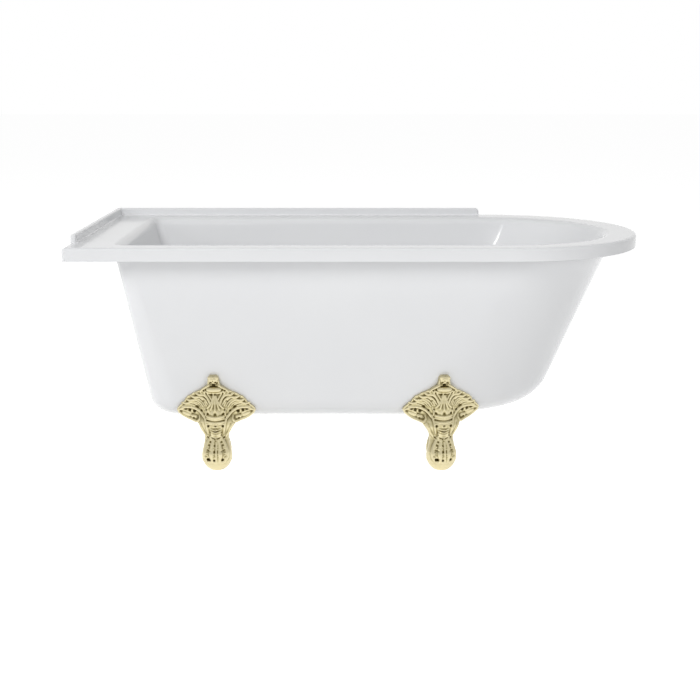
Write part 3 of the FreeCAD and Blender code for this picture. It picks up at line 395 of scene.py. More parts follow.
def basin_ring(reach, drop):
    """The basin's ring at a reach in from the deck's edge and a drop, each for the three stretches."""
    share = drop[1] / DEPTH
    wall_line = mouth_reach[1] + math.tan(DRAFTS[1]) * drop[1]
    below_knee = max(drop[1] - CORNER_KNEE, 0)
    corner = CORNER_ABOVE + (CORNER_AT_FLOOR - CORNER_ABOVE) * below_knee / (DEPTH - CORNER_KNEE)
    plan = outline(
        LEFT + DECK_WIDTHS["left"] + reach[0],
        RIGHT - DECK_WIDTHS["right"] - reach[2],
        RIGHT - (ARC_AT_DECK + (ARC_AT_FLOOR - ARC_AT_DECK) * share),
        BASIN_HALF - reach[1],
        corner + wall_line - reach[1],
        MIDDLE,
    )
    return lifted(plan, DECK - drop)


def mouth_rings(offset, steps=10):
    """The rounding from the deck into the basin, on the inside or a sheet's thickness behind it."""
    radius = MOUTH_ROUND - offset
    turns = [(math.pi / 2 - DRAFTS) * i / steps for i in range(steps + 1)]
    return [basin_ring(radius * np.sin(turn), MOUTH_ROUND - radius * np.cos(turn)) for turn in turns]


def floor_rings(offset, steps=14):
    """The rounding from the walls to the floor, on the inside or a sheet's thickness behind it."""
    radius = FLOOR_ROUND + offset
    turns = [DRAFTS + (math.pi / 2 - DRAFTS) * i / steps for i in range(steps + 1)]
    top = DEPTH - FLOOR_ROUND
    return [basin_ring(floor_centre - radius * np.cos(turn), top + radius * np.sin(turn)) for turn in turns]


def round_hole(ring, centre, radius):
    """A circle with one point in line with each point of a ring, seen from the hole's centre."""
    away = ring[:, :2] - centre
    circle = centre + radius * away / np.linalg.norm(away, axis=1)[:, None]
    return np.column_stack((circle, ring[:, 2]))


# %% The rim and the inner sheet
RIM_ROUND, RIM_CORNER = 8 * MM, 6 * MM
WASTE_HOLE = 24.8 * MM
WALL_SHARES = np.linspace(0, 1, 16)[1:-1]
TO_HOLE = (0.3, 0.6, 0.85, 1)
FROM_HOLE = (0.15, 0.4, 0.7)


def rim_ring(inset, z):
    """The rim's ring, drawn in by an inset: square at the left, a half circle at the right."""
    corner = max(RIM_CORNER - inset, 1 * MM)
    return lifted(outline(LEFT + inset, RIGHT - inset, RIGHT - HALF, HALF - inset, corner, 0), z)


def make_inner_sheet():
    lip_bottom = [rim_ring(inset, RIM_LOW) for inset in (SHEET, SHEET - 1 * MM, 1 * MM)]
    lip_face = [rim_ring(0.3 * MM, RIM_LOW + 0.3 * MM)]
    lip_face += [rim_ring(0, z) for z in (RIM_LOW + 1 * MM, DECK - RIM_ROUND)]
    edge = []
    for i in range(1, 9):
        turn = math.radians(90 * i / 8)
        inset = RIM_ROUND * (1 - math.cos(turn))
        edge.append(rim_ring(inset, DECK - RIM_ROUND * (1 - math.sin(turn))))
    inside = mouth_rings(0)
    bottom = floor_rings(0)
    hole = round_hole(bottom[-1], WASTE, WASTE_HOLE)
    under_bottom = floor_rings(SHEET)
    under_hole = round_hole(under_bottom[-1], WASTE, WASTE_HOLE)
    under = mouth_rings(SHEET)
    lip_inside = rim_ring(SHEET, DECK - SHEET)
    rings = lip_bottom + lip_face + edge
    rings += between(edge[-1], inside[0], (0.15, 0.5, 0.85)) + inside
    rings += between(inside[-1], bottom[0], WALL_SHARES) + bottom
    rings += between(bottom[-1], hole, TO_HOLE)
    rings += [under_hole] + between(under_hole, under_bottom[-1], FROM_HOLE) + under_bottom[::-1]
    rings += between(under_bottom[0], under[-1], WALL_SHARES) + under[::-1]
    rings += between(under[0], lip_inside, (0.5, 1))
    return moulding("acrylic_basin", rings)


basin = make_inner_sheet()
print("inner sheet:", len(basin.data.polygons), "faces")

# %% [markdown]
# ### Outer sheet: the skin
# The skin is the tapered body that the room sees. Its walls are straight from under the rim down to a
# rounding of 50 to 125 mm, and a flange on top is bonded under the deck. A hole in its flat underside
# lets a fitter reach the waste.

# %% The skin's profile
SKIN_TOP = {"inset": np.array([117, 51, 76]) * MM, "arc": 355 * MM, "corner": 40 * MM}
SKIN_FOOT = {"inset": np.array([180, 137, 260]) * MM, "arc": 650 * MM, "corner": 96 * MM}
SKIN_ROUNDS = np.array([50, 72, 125]) * MM
SKIN_HEIGHT = RIM_LOW - SKIN_LOW
FLANGE_INSET = SHEET + 0.4 * MM
skin_draft = np.arctan((SKIN_FOOT["inset"] - SKIN_TOP["inset"]) / SKIN_HEIGHT)
skin_centre = SKIN_FOOT["inset"] + SKIN_ROUNDS * (1 / np.cos(skin_draft) - np.tan(skin_draft))
print("the skin's drafts in degrees:", [round(float(draft), 1) for draft in np.degrees(skin_draft)])


def skin_ring(inset, z):
    """The skin's ring at an inset from the rim's edge and a height, each for the three stretches."""
    share = (RIM_LOW - z[1]) / SKIN_HEIGHT
    wall_line = SKIN_TOP["inset"][1] + math.tan(skin_draft[1]) * (RIM_LOW - z[1])
    corner = SKIN_TOP["corner"] + (SKIN_FOOT["corner"] - SKIN_TOP["corner"]) * share
    arc = SKIN_TOP["arc"] + (SKIN_FOOT["arc"] - SKIN_TOP["arc"]) * share
    half = HALF + MIDDLE - inset[1]
    corner = corner + wall_line - inset[1]
    return lifted(outline(LEFT + inset[0], RIGHT - inset[2], RIGHT - arc, half, corner, MIDDLE), z)


def skin_floor_rings(offset, steps=14):
    """The rounding from the skin's walls to its underside, on the outside (0) or inside the sheet."""
    radius = SKIN_ROUNDS - offset
    rings = []
    for i in range(steps + 1):
        turn = skin_draft + (math.pi / 2 - skin_draft) * i / steps
        inset = skin_centre - radius * np.cos(turn)
        rings.append(skin_ring(inset, SKIN_LOW + SKIN_ROUNDS - radius * np.sin(turn)))
    return rings


def skin_wall_ring(offset, z):
    """The straight wall's ring at one height."""
    inset = SKIN_TOP["inset"] + np.tan(skin_draft) * (RIM_LOW - z) + offset / np.cos(skin_draft)
    return skin_ring(inset, np.full(3, z))


# %% The outer sheet
ACCESS_HOLE = 60 * MM
COVE = 5 * MM


def make_outer_sheet():
    flange_low = rim_ring(FLANGE_INSET, RIM_LOW)
    cove = []
    for i in range(7):
        turn = math.radians(15 * i)
        out = COVE * (1 - math.sin(turn))
        cove.append(skin_wall_ring(-out, RIM_LOW - COVE * (1 - math.cos(turn))))
    outside = skin_floor_rings(0)
    hole = round_hole(outside[-1], WASTE, ACCESS_HOLE)
    inside = skin_floor_rings(SHEET)
    inner_hole = round_hole(inside[-1], WASTE, ACCESS_HOLE)
    flange_high = rim_ring(FLANGE_INSET, RIM_LOW + SHEET)
    rings = [flange_low] + between(flange_low, cove[0], (0.5,)) + cove
    rings += between(cove[-1], outside[0], WALL_SHARES) + outside
    rings += between(outside[-1], hole, TO_HOLE)
    rings += [inner_hole] + between(inner_hole, inside[-1], FROM_HOLE) + inside[::-1]
    inner_top = skin_wall_ring(SHEET, RIM_LOW + SHEET)
    rings += between(inside[0], inner_top, np.append(WALL_SHARES, 1.0)) + [flange_high]
    return moulding("acrylic_skin", rings)


skin = make_outer_sheet()
print("outer sheet:", len(skin.data.polygons), "faces")

# %% [markdown]
# ### Tiling upstand
# An L-shaped strip stands on the deck along the wall side and the square end, so that tiles can come
# down behind it. Its upper edges are rounded, and it meets the deck in a small cove of adhesive.

# %% The upstand
UPSTAND_LOW, UPSTAND_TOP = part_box("tiling_upstand")
STRIP = 14 * MM
EDGE_ROUND = 4 * MM
END_ROUND = 12 * MM
COVE_ROUND = 3 * MM
FOOT_REACH = 4.3 * MM


def upstand_ring(inset, cove, z):
    """The strip's outline at one height, drawn in by an inset, its inner faces drawn out by a cove."""
    x0 = UPSTAND_LOW.x + inset
    x1 = UPSTAND_LOW.x + STRIP - inset + cove
    x2 = UPSTAND_TOP.x - inset + cove
    y0 = UPSTAND_LOW.y + inset - cove
    y1 = UPSTAND_TOP.y - STRIP + inset - cove
    y2 = UPSTAND_TOP.y - inset
    over = min(max(z - (UPSTAND_TOP.z - END_ROUND), 0), END_ROUND)
    drawn = END_ROUND - math.sqrt(END_ROUND**2 - over**2)
    tight = max(EDGE_ROUND - inset, 0.5 * MM)
    ends = (y0 + max(drawn - inset, 0), x2 - max(drawn - inset, 0))
    corners = [(x0, ends[0], tight), (x1, ends[0], tight), (x1, y1, 2 * MM + inset)]
    corners += [(ends[1], y1, tight), (ends[1], y2, tight), (x0, y2, tight)]
    plan = rounded(corners)
    return np.column_stack((plan, np.full(len(plan), z)))


def rounded(corners, steps=6):
    """Points along a closed square-cornered outline, each corner (x, y, radius) rounded by an arc."""
    points = []
    for i, (x, y, radius) in enumerate(corners):
        here = np.array([x, y])
        back = np.array(corners[i - 1][:2]) - here
        ahead = np.array(corners[(i + 1) % len(corners)][:2]) - here
        back, ahead = back / np.linalg.norm(back), ahead / np.linalg.norm(ahead)
        centre = here + radius * (back + ahead)
        for step in range(steps + 1):
            turn = math.pi / 2 * step / steps
            points.append(centre - radius * (ahead * math.cos(turn) + back * math.sin(turn)))
    return np.array(points)


def make_upstand():
    rings = [upstand_ring(0, COVE_ROUND, DECK - FOOT_REACH), upstand_ring(0, COVE_ROUND, DECK - 0.2 * MM)]
    for i in range(6):
        turn = math.radians(18 * i)
        cove = COVE_ROUND * (1 - math.sin(turn))
        rings.append(upstand_ring(0, cove, DECK + COVE_ROUND * (1 - math.cos(turn))))
    rings.append(upstand_ring(0, 0, UPSTAND_TOP.z - END_ROUND))
    for i in range(13):
        turn = math.radians(7.5 * i)
        over = math.sin(turn)
        z = UPSTAND_TOP.z - END_ROUND + END_ROUND * over
        rise = max(z - (UPSTAND_TOP.z - EDGE_ROUND), 0)
        inset = EDGE_ROUND - math.sqrt(max(EDGE_ROUND**2 - rise**2, 0))
        rings.append(upstand_ring(inset, 0, z))
    mesh = bpy.data.meshes.new("tiling_strip")
    mesh.from_pydata(np.vstack(rings).tolist(), [], tube_faces(len(rings), len(rings[0])))
    return finished("tiling_strip", mesh, white_acrylic)


strip = make_upstand()
print("upstand:", len(strip.data.polygons), "faces")

# %% [markdown]
# ## Claw feet
# Each foot is one casting: a winged leaf plate that lies against the bath's wall, a leg, and a claw that
# holds a ball. A carver would build it up in clay, so this does too: a core gives the big form, ropes and
# lobes of clay give ribs, scrolls, straps and toes, a voxel remesh melts them into one skin, and the
# deepest pockets are pressed in afterwards. It is modelled once in its own frame, in millimetres, with
# the leg upright at the origin and the wall behind it, then set against the wall at each corner.
# The core is drawn as a turner reads a profile off a drawing: half a width, a front and a back, each as
# a short list of heights and values.

# %% The core of the foot
WALL_LEAN = math.tan(skin_draft[1])
FOOT_AXIS = 130.0
HEIGHT = 261.0
CLAW_HALVES = [(1, 21), (8, 29), (15, 34), (27, 40), (40, 40.5), (51, 39), (68, 34.5), (83, 32), (95, 32.5)]
LEG_HALVES = [(105, 37), (120, 47), (129, 53), (134, 66), (142, 80), (150, 91), (157, 103), (162, 105)]
WING_HALVES = [(168, 102), (174, 96), (178, 91), (186, 83), (194, 79), (201, 73), (205, 64), (211, 56)]
TOP_HALVES = [(214, 48), (220, 36), (228, 27), (233, 18), (240, 15.5), (250, 15), (257, 13), (261, 9)]
HALF_WIDTHS = CLAW_HALVES + LEG_HALVES + WING_HALVES + TOP_HALVES
FRONTS = [(1, 22), (8, 30), (15, 35), (27, 39), (40, 40), (51, 39), (68, 34), (83, 30), (92, 29), (103, 31)]
FRONTS += [(115, 36), (130, 41), (145, 43), (158, 42), (170, 38), (185, 33), (200, 29), (220, 27), (255, 27)]
FRONTS += [(264, 26)]
BACKS = [(1, 18), (8, 23), (15, 26), (27, 29), (45, 30), (64, 29), (89, 27), (109, 29), (120, 31), (131, 33)]
BACKS += [(140, 33), (150, 24), (160, 14), (170, 6), (180, 3), (264, -15)]
PLATE_FROM, PLATE_OVER = 112.0, 38.0
PLATE_EDGE = 7.0
CENTRE_SPREAD = 34.0
SEATED = 3.0
ROUNDNESS = 0.985


def table(rows, z):
    """A value read from rows of (height, value)."""
    return np.interp(z, [row[0] for row in rows], [row[1] for row in rows])


def wall_y(z):
    """Depth of the bath's straight wall behind the leg's axis."""
    skin_inset = SKIN_TOP["inset"][1] / MM + WALL_LEAN * (RIM_LOW / MM - z)
    return skin_inset - FOOT_AXIS


def eased(value):
    value = np.clip(value, 0, 1)
    return value * value * (3 - 2 * value)


print("the wings are", 2 * max(half for _, half in HALF_WIDTHS), "mm across")
print("the wall leans out by", round(WALL_LEAN, 3), "mm for each mm up")


# %% The core's front and back faces
def bowed(x, z):
    """How far the leg's round section stands out at x, from 1 in the middle to nearly 0 at its edge."""
    share = np.clip(np.abs(x) / table(HALF_WIDTHS, z), 0, 1)
    return np.sqrt(1 - ROUNDNESS * share**2)


def centred(x):
    """1 on the middle line, easing to 0 out on the wings."""
    return np.exp(-((x / CENTRE_SPREAD) ** 2))


def front_y(x, z):
    """Depth of the core's front face."""
    front = table(FRONTS, z)
    plate = eased((z - PLATE_FROM) / PLATE_OVER)
    leg = -front * bowed(x, z)
    edge = wall_y(z) - PLATE_EDGE
    wing = edge + (-front - edge) * centred(x)
    return leg * (1 - plate) + wing * plate


def back_y(x, z):
    """Depth of the core's back face: round on the leg, just inside the wall on the plate."""
    back = table(BACKS, z)
    plate = eased((z - PLATE_FROM) / PLATE_OVER)
    leg = back * bowed(x, z)
    deep = wall_y(z) + SEATED
    wing = deep + np.maximum(back - deep, 0) * centred(x)
    return leg * (1 - plate) + wing * plate


print("the boss stands", round(-float(front_y(0, 103)), 1), "mm in front of the leg's middle")


# %% Clay, and the core pressed from it
PAD_RECESS, PAD_TOP = 13.6, 3.2
PAD_FORWARD = 4.0
CLAW_FORWARD = 9.0
LOWEST = 1.0
clay = {"points": [], "faces": [], "count": 0}


def press(points, faces):
    """Adds a closed lump to the clay."""
    clay["points"].append(np.asarray(points, float))
    clay["faces"] += [tuple(clay["count"] + i for i in face) for face in faces]
    clay["count"] += len(points)


def press_core():
    """The foot's big form, a ring every 3 mm. It starts in the recess that holds the rubber pad."""
    heights = np.append(LOWEST, np.arange(3, HEIGHT + 1, 3.0))
    across = -np.cos(np.linspace(0, math.pi, 41))
    turn = np.linspace(math.pi, 3 * math.pi, 2 * len(across), endpoint=False)
    circle = np.column_stack((np.cos(turn), np.sin(turn)))
    recess = PAD_RECESS * circle + [0, CLAW_FORWARD - PAD_FORWARD]
    points = [np.column_stack((recess, np.full(len(turn), z))) for z in (PAD_TOP, LOWEST)]
    for z in heights:
        x = across * table(HALF_WIDTHS, z)
        points.append(np.column_stack((x, front_y(x, z), np.full(len(x), z))))
        points.append(np.column_stack((x[::-1], back_y(x[::-1], z), np.full(len(x), z))))
    press(np.vstack(points), tube_faces(len(heights) + 2, 2 * len(across)))


press_core()
print("the core has", clay["count"], "points")


# %% Ropes and lobes
def smooth_path(points, steps):
    """A smooth curve through listed points, which may carry a radius as their last value."""
    points = np.array(points, float)
    padded = np.vstack([2 * points[0] - points[1], points, 2 * points[-1] - points[-2]])
    path = []
    for a, b, c, d in zip(padded, padded[1:], padded[2:], padded[3:], strict=False):
        square, cube = 2 * a - 5 * b + 4 * c - d, 3 * b - a - 3 * c + d
        for share in np.linspace(0, 1, steps, endpoint=False):
            path.append(0.5 * (2 * b + (c - a) * share + square * share**2 + cube * share**3))
    path.append(points[-1])
    return np.array(path)


def rope(points, around=10, steps=5):
    """A rope of clay along points (x, y, z, radius), with rounded ends."""
    path = smooth_path(points, steps)
    centre, radius = path[:, :3], np.maximum(path[:, 3], 0.4)
    along = np.gradient(centre, axis=0)
    along /= np.linalg.norm(along, axis=1)[:, None]
    side = np.cross(along, [0.0, 1.0, 0.0]) + [1e-6, 0, 0]
    side /= np.linalg.norm(side, axis=1)[:, None]
    up = np.cross(side, along)
    beyond, thin = 0.7, 0.55
    rings = [(centre[0] - along[0] * radius[0] * beyond, radius[0] * thin, side[0], up[0])]
    rings += list(zip(centre, radius, side, up, strict=True))
    rings.append((centre[-1] + along[-1] * radius[-1] * beyond, radius[-1] * thin, side[-1], up[-1]))
    turn = np.linspace(0, 2 * math.pi, around, endpoint=False)[:, None]
    points = [c + r * (np.cos(turn) * s + np.sin(turn) * u) for c, r, s, u in rings]
    press(np.vstack(points), tube_faces(len(rings), around))


def lobe(centre, sizes, tilt=0.0, rings=9, around=14):
    """A stretched ball of clay, tilted in the front plane by degrees."""
    turn = np.linspace(0, 2 * math.pi, around, endpoint=False)
    circle = np.column_stack((np.cos(turn), np.sin(turn)))
    pole = math.pi / 2 - 0.12
    rows = []
    for lift in np.linspace(-pole, pole, rings):
        rows.append(np.column_stack((np.cos(lift) * circle, np.full(around, math.sin(lift)))))
    ball = np.vstack(rows) * np.array(sizes, float)
    c, s = math.cos(math.radians(tilt)), math.sin(math.radians(tilt))
    x, y, z = ball.T
    turned = np.column_stack((x * c - z * s, y, x * s + z * c))
    press(turned + np.array(centre, float), tube_faces(rings, around))


def laid(points, lift=0.5):
    """Front-view points (x, z, radius) laid on the core's face, part of each rope standing proud."""
    return [(x, float(front_y(x, z)) - lift * r, z, r) for x, z, r in points]


def dab(x, z, sizes, tilt=0.0, lift=0.3):
    """A lobe on the core's face at (x, z)."""
    lobe((x, float(front_y(x, z)) - lift * sizes[1], z), sizes, tilt)


def curl(x, z, start, turns, size, thickness, side):
    """A scroll: a rope wound inwards from a radius, starting at an angle in degrees."""
    points = []
    count = int(10 * turns)
    for i in range(count + 1):
        share = i / count
        angle = math.radians(start) + 2 * math.pi * turns * share
        radius = size * (1 - 0.78 * share)
        place = (side * (x + radius * math.cos(angle)), z + radius * math.sin(angle))
        points.append((*place, thickness * (1 - 0.35 * share)))
    rope(laid(points, 0.55), around=8, steps=2)


print("a rope stands on the core at", np.round(laid([(0, 200, 3)])[0], 1))

# %% [markdown]
# ### Carving, from the finial to the ball
# The centre carries a finial, a hood, a fan of five ribs that opens downwards, two pairs of moulded
# bands, a ribbed boss and a ridge down the claw. Beside it lie scrolls, straps and the arms of a chevron.
# Each wing has a thick brow that sweeps out to the tip over an eye-shaped hollow, with layers of feathers
# above it and a rolled leaf below. Both halves are the same, so each function takes a side, 1 or -1.

# %% The centre of the foot
def carve_centre():
    dab(0, 248, (14, 7, 11))
    dab(-7, 254, (8, 6, 6))
    dab(7, 254, (8, 6, 6))
    dab(0, 222, (21, 8, 8))
    rope(laid([(-25, 217, 2.4), (-13, 213, 2.8), (0, 212, 3), (13, 213, 2.8), (25, 217, 2.4)], 0.5))
    for x in (-22, -12, 0, 12, 22):
        rib = [(x * 0.15, 208, 1.6), (x * 0.3, 194, 2), (x * 0.62, 180, 2.4), (x, 167 + abs(x) * 0.2, 2.2)]
        rope(laid(rib, 0.2))
    for z, radius in ((149, 4.2), (143, 3), (134, 2.6), (129, 2.2)):
        across = (-22, -11, 0, 11, 22)
        rope(laid([(x, z + abs(x) * 0.04, radius) for x in across], 0.0))
    dab(0, 103, (14, 6, 14), lift=-0.2)
    for z in (115, 108, 101, 94):
        across = (-13, -7, 0, 7, 13)
        rope([(x, float(front_y(x, z)) - 5 + abs(x) * 0.3, z - 1.5 + abs(x) * 0.2, 2) for x in across])
    rope(laid([(1, 86, 3), (2, 72, 3.4), (1, 56, 2.6), (2, 42, 2)], 0.0))


carve_centre()
print("the centre brings the clay to", clay["count"], "points")


# %% Beside the centre
def ribbon(side, line, lift):
    """A rope laid on one side of the foot, from points (x, z, radius) of the right half."""
    rope(laid([(side * x, z, r) for x, z, r in line], lift))


def carve_middle_side(side):
    curl(7, 243, 90, 1.0, 4.6, 1.8, side)
    ribbon(side, [(7, 192, 1.6), (13, 202, 2.2), (19, 211, 1.8)], 0.3)
    ribbon(side, [(12, 187, 1.6), (19, 199, 2.4), (27, 211, 1.8)], 0.3)
    curl(32, 209, 100, 1.2, 7.5, 2.0, side)
    ribbon(side, [(12, 233, 3), (22, 227, 3.2), (32, 220, 2.8), (38, 213, 2)], 0.3)
    ribbon(side, [(29, 171, 1.8), (25, 161, 2.4), (26, 150, 2)], 0.2)
    ribbon(side, [(30, 150, 3.2), (26, 136, 3.6), (23, 118, 3.4), (20, 102, 2.8)], 0.1)
    ribbon(side, [(43, 128, 4.5), (37, 116, 5.2), (31, 104, 4.8), (25, 93, 3.2)], -0.3)
    ribbon(side, [(22, 96, 2.2), (12, 89, 2.4), (1, 81, 2.2)], 0.3)


# %% The wings
BROW = [(26, 141, 3.6), (32, 148, 4.2), (40, 158, 4.6), (53, 166, 4.8), (68, 170, 4.4), (84, 169, 3.8)]
BROW += [(100, 161, 2.8)]
LEAF = [(100, 156, 2.6), (89, 147, 3.4), (76, 140, 4.2), (63, 136, 4.4), (51, 132, 3.8), (44, 139, 3)]
LEAF += [(45, 147, 2)]
FEATHERS = [
    [(14, 184, 2), (20, 198, 2.8), (30, 206, 3.2), (42, 206, 3.4), (51, 211, 2.8)],
    [(23, 178, 2), (30, 191, 3), (41, 199, 3.2), (55, 198, 3.6), (65, 203, 2.8)],
    [(33, 174, 2), (41, 185, 3), (53, 191, 3.2), (68, 189, 3.6), (78, 194, 2.8)],
    [(45, 173, 2), (54, 180, 2.8), (66, 183, 3), (80, 180, 3.4), (90, 183, 2.4)],
]
QUILLS = [
    [(18, 180, 1.2), (26, 193, 1.8), (36, 200, 1.6), (48, 200, 1.4)],
    [(28, 176, 1.2), (36, 188, 1.8), (48, 194, 1.6), (62, 191, 1.4)],
    [(39, 173, 1.2), (47, 182, 1.8), (60, 186, 1.6), (74, 183, 1.4)],
    [(56, 174, 1.2), (66, 177, 1.8), (78, 175, 1.6), (90, 171, 1.4)],
]


def carve_wing(side):
    ribbon(side, BROW, 0.1)
    ribbon(side, LEAF, -0.1)
    dab(side * 76, 150, (17, 4, 6.5), tilt=side * 22, lift=0.0)
    dab(side * 57, 143, (11, 3.6, 6), tilt=side * 20, lift=0.0)
    ribbon(side, [(95, 162, 1.6), (80, 160, 2.2), (67, 153, 2)], 0.2)
    for line in FEATHERS:
        ribbon(side, line, 0.1)
    for line in QUILLS:
        ribbon(side, line, 0.8)


print("feathers and quills on each wing:", len(FEATHERS), len(QUILLS))

# %% The claw
TOES = [(6, 10, 11.5, 11, 9), (17, 24, 28, 27, 23)]
TOE_LEVELS = (86, 68, 52, 38, 29)
TOE_SIZES = (4.5, 6, 7, 6, 3)
BACK_TOES = [
    [(22, 16, 86, 7), (27, 19, 66, 8), (29, 19, 48, 8), (24, 17, 32, 6)],
    [(7, 23, 84, 7), (10, 26, 64, 8), (10, 26, 46, 8), (9, 23, 30, 5)],
]


def press_claw(side):
    """The toes lie low on the claw's bell, wrinkled at two joints, and end in nails above the smooth ball."""
    for toe in TOES:
        line = zip(toe, TOE_LEVELS, TOE_SIZES, strict=True)
        rope(laid([(side * x, z, r) for x, z, r in line], -0.4), around=14)
        for x, z in ((toe[1], 69), (toe[1], 64), (toe[2], 52), (toe[2], 47)):
            ribbon(side, [(x - 5, z - 1.5, 1.2), (x, z, 1.6), (x + 5, z - 1.5, 1.2)], 1.2)
        ribbon(side, [(toe[3], 40, 3.4), ((toe[3] + toe[4]) / 2, 33, 2.8), (toe[4], 27, 1.4)], 0.1)
    ribbon(side, [(4, 76, 1.6), (12, 84, 2), (22, 88, 1.8)], 0.3)
    ribbon(side, [(3, 66, 1.4), (9, 72, 1.8), (17, 77, 1.6)], 0.3)
    for toe in BACK_TOES:
        rope([(side * x, y, z, r) for x, y, z, r in toe], around=14)


for side in (-1, 1):
    carve_middle_side(side)
    carve_wing(side)
    press_claw(side)
print("lumps of clay hold", clay["count"], "points")

# %% [markdown]
# ### The lug
# The lug is the flat tongue behind the leg that two bolts pull up against the underside. It is made as a
# plate with its two holes before it joins the clay.

# %% Plate and bolt holes
lug_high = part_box("foot_front_left")[1]
LUG = {
    "half": 37.0,
    "front": -6.0,
    "thick": 10.0,
    "top": SKIN_LOW / MM,
    "clearance": 0.3,
    "length": (lug_high.y - FRONT) / MM - FOOT_AXIS,
}
BOLT_HOLE = 4.5
BOLT_HALF_GAP = 20.0
BOLT_TO_END = 18.0


def round_bar(name, radius, low_z, high_z, x, y, around=32):
    """An upright closed cylinder, used only to cut holes."""
    turn = np.linspace(0, 2 * math.pi, around, endpoint=False)
    ring = np.column_stack((x + radius * np.cos(turn), y + radius * np.sin(turn)))
    points = np.vstack([np.column_stack((ring, np.full(around, z))) for z in (low_z, high_z)])
    mesh = bpy.data.meshes.new(name)
    mesh.from_pydata(points.tolist(), [], tube_faces(2, around))
    return finished(name, mesh, white_acrylic)


def make_lug():
    half, front, length = LUG["half"], LUG["front"], LUG["length"]
    plan = rounded([(-half, front, 6), (half, front, 6), (half, length, 12), (-half, length, 12)])
    levels = (LUG["top"] - LUG["thick"], LUG["top"] - LUG["clearance"])
    points = np.vstack([np.column_stack((plan, np.full(len(plan), z))) for z in levels])
    mesh = bpy.data.meshes.new("lug")
    mesh.from_pydata(points.tolist(), [], tube_faces(2, len(plan)))
    lug = finished("lug", mesh, gold_casting)
    bolt_y = length - BOLT_TO_END
    for x in (-BOLT_HALF_GAP, BOLT_HALF_GAP):
        drill = round_bar("drill", BOLT_HOLE, levels[0] - 5, levels[1] + 5, x, bolt_y)
        applied(lug, "BOOLEAN", object=drill, operation="DIFFERENCE", solver="EXACT")
        bpy.data.objects.remove(drill)
    return lug


lug = make_lug()
press([v.co[:] for v in lug.data.vertices], [tuple(p.vertices) for p in lug.data.polygons])
bpy.data.objects.remove(lug)
print("lug reaches", round(LUG["length"], 1), "mm behind the leg's middle")

# %% [markdown]
# ### Melting the clay into one casting
# The voxel remesh is the step a foundry's mould does: whatever overlaps becomes one surface. Then pockets
# are pressed into the front, the surface is relaxed, and the hollowness of each point is stored for the
# gold's painted shade.

# %% Pockets, as (x, z, radius, depth)
WING_POCKETS = [(70, 161, 3, 3.5), (58, 158, 3.6, 5), (81, 163, 2.6, 2), (60, 140, 2.4, 2.5)]
WING_POCKETS += [(48, 173, 3.4, 3.5), (31, 190, 3, 3), (26, 166, 2.6, 3), (20, 157, 3, 3)]
WING_POCKETS += [(38, 162, 2.4, 2.5), (19, 124, 2.4, 3.5)]
SIDE_POCKETS = [(20, 93, 3.4, 4), (28, 217, 2.6, 2.5), (16, 58, 3.4, 4), (17, 34, 3.4, 6), (28, 44, 2, 1.5)]
SIDE_POCKETS += [(6, 241, 3, 5.5)]
MIDDLE_POCKETS = [(0, 158, 4.5, 4), (-7, 209, 3.4, 3), (2, 209, 3, 3), (0, 125, 2.4, 3), (0, 83, 3.4, 2.5)]
MIDDLE_POCKETS += [(-3, 56, 2.2, 2), (-4, 33, 2.6, 4), (-21, 34, 3.4, 5), (0, 232, 4, 4), (-1, 246, 2.4, 3)]
pockets = [(side * x, z, r, d) for x, z, r, d in WING_POCKETS + SIDE_POCKETS for side in (-1, 1)]
pockets += MIDDLE_POCKETS
print("pockets:", len(pockets))


# %% Remesh, press and measure the hollows
VOXEL = 1.15
FACING = 1.6
WIDE_ROUNDS = 14
HOLLOW_SPAN = 2.2


def neighbour_mean(values, edges, count):
    """For each point, the mean of a value over the points that it shares an edge with."""
    total = np.zeros_like(values)
    number = np.zeros(count)
    for a, b in ((0, 1), (1, 0)):
        np.add.at(total, edges[:, a], values[edges[:, b]])
        np.add.at(number, edges[:, a], 1)
    return total / (number[:, None] if values.ndim > 1 else number)


def read_points(mesh, what="co"):
    values = np.empty(len(mesh.vertices) * 3)
    source = mesh.vertices if what == "co" else mesh.vertex_normals
    source.foreach_get("co" if what == "co" else "vector", values)
    return values.reshape(-1, 3)


def cast_foot():
    """The finished casting in its own frame, with its hollow attribute that paints shade into its recesses.
    """
    mesh = bpy.data.meshes.new("claw_foot")
    mesh.from_pydata((np.vstack(clay["points"]) * MM).tolist(), [], clay["faces"])
    foot = finished("claw_foot", mesh, gold_casting)
    applied(foot, "REMESH", mode="VOXEL", voxel_size=VOXEL * MM, use_smooth_shade=True)
    mesh = foot.data
    points, normals = read_points(mesh) / MM, read_points(mesh, "normal")
    facing = np.clip(-normals[:, 1] * FACING, 0, 1)
    for x, z, radius, depth in pockets:
        near = np.exp(-((points[:, 0] - x) ** 2 + (points[:, 2] - z) ** 2) / radius**2)
        points[:, 1] += depth * near * facing
    edges = np.array([tuple(edge.vertices) for edge in mesh.edges])
    points = points * 0.5 + neighbour_mean(points, edges, len(points)) * 0.5
    wide = points
    for _ in range(WIDE_ROUNDS):
        wide = neighbour_mean(wide, edges, len(points))
    # How far each point sinks below its smoothed neighbours sets the painted shade of the gold.
    hollow_shade = np.einsum("ij,ij->i", wide - points, normals)
    hollow_shade = 0.5 + hollow_shade / HOLLOW_SPAN
    for _ in range(2):
        hollow_shade = neighbour_mean(hollow_shade, edges, len(points))
    mesh.vertices.foreach_set("co", (points * MM).ravel())
    attribute = mesh.attributes.new("hollow_shade", "FLOAT", "POINT")
    attribute.data.foreach_set("value", np.clip(hollow_shade, 0, 1))
    mesh.update()
    return foot


casting = cast_foot()
print("casting:", len(casting.data.polygons), "faces")

# %% [markdown]
# ### Setting the feet
# The left pair stands square. The right pair is turned 10 degrees, because the wall starts to curve
# there, and its wings are bent to the wall as a fitter's casting would be ground to it. Whatever would
# still reach into the skin is laid flat against it. The claws are carried 9 mm towards the room, and the
# finials lean a few millimetres to one side, as hand-finished castings do.

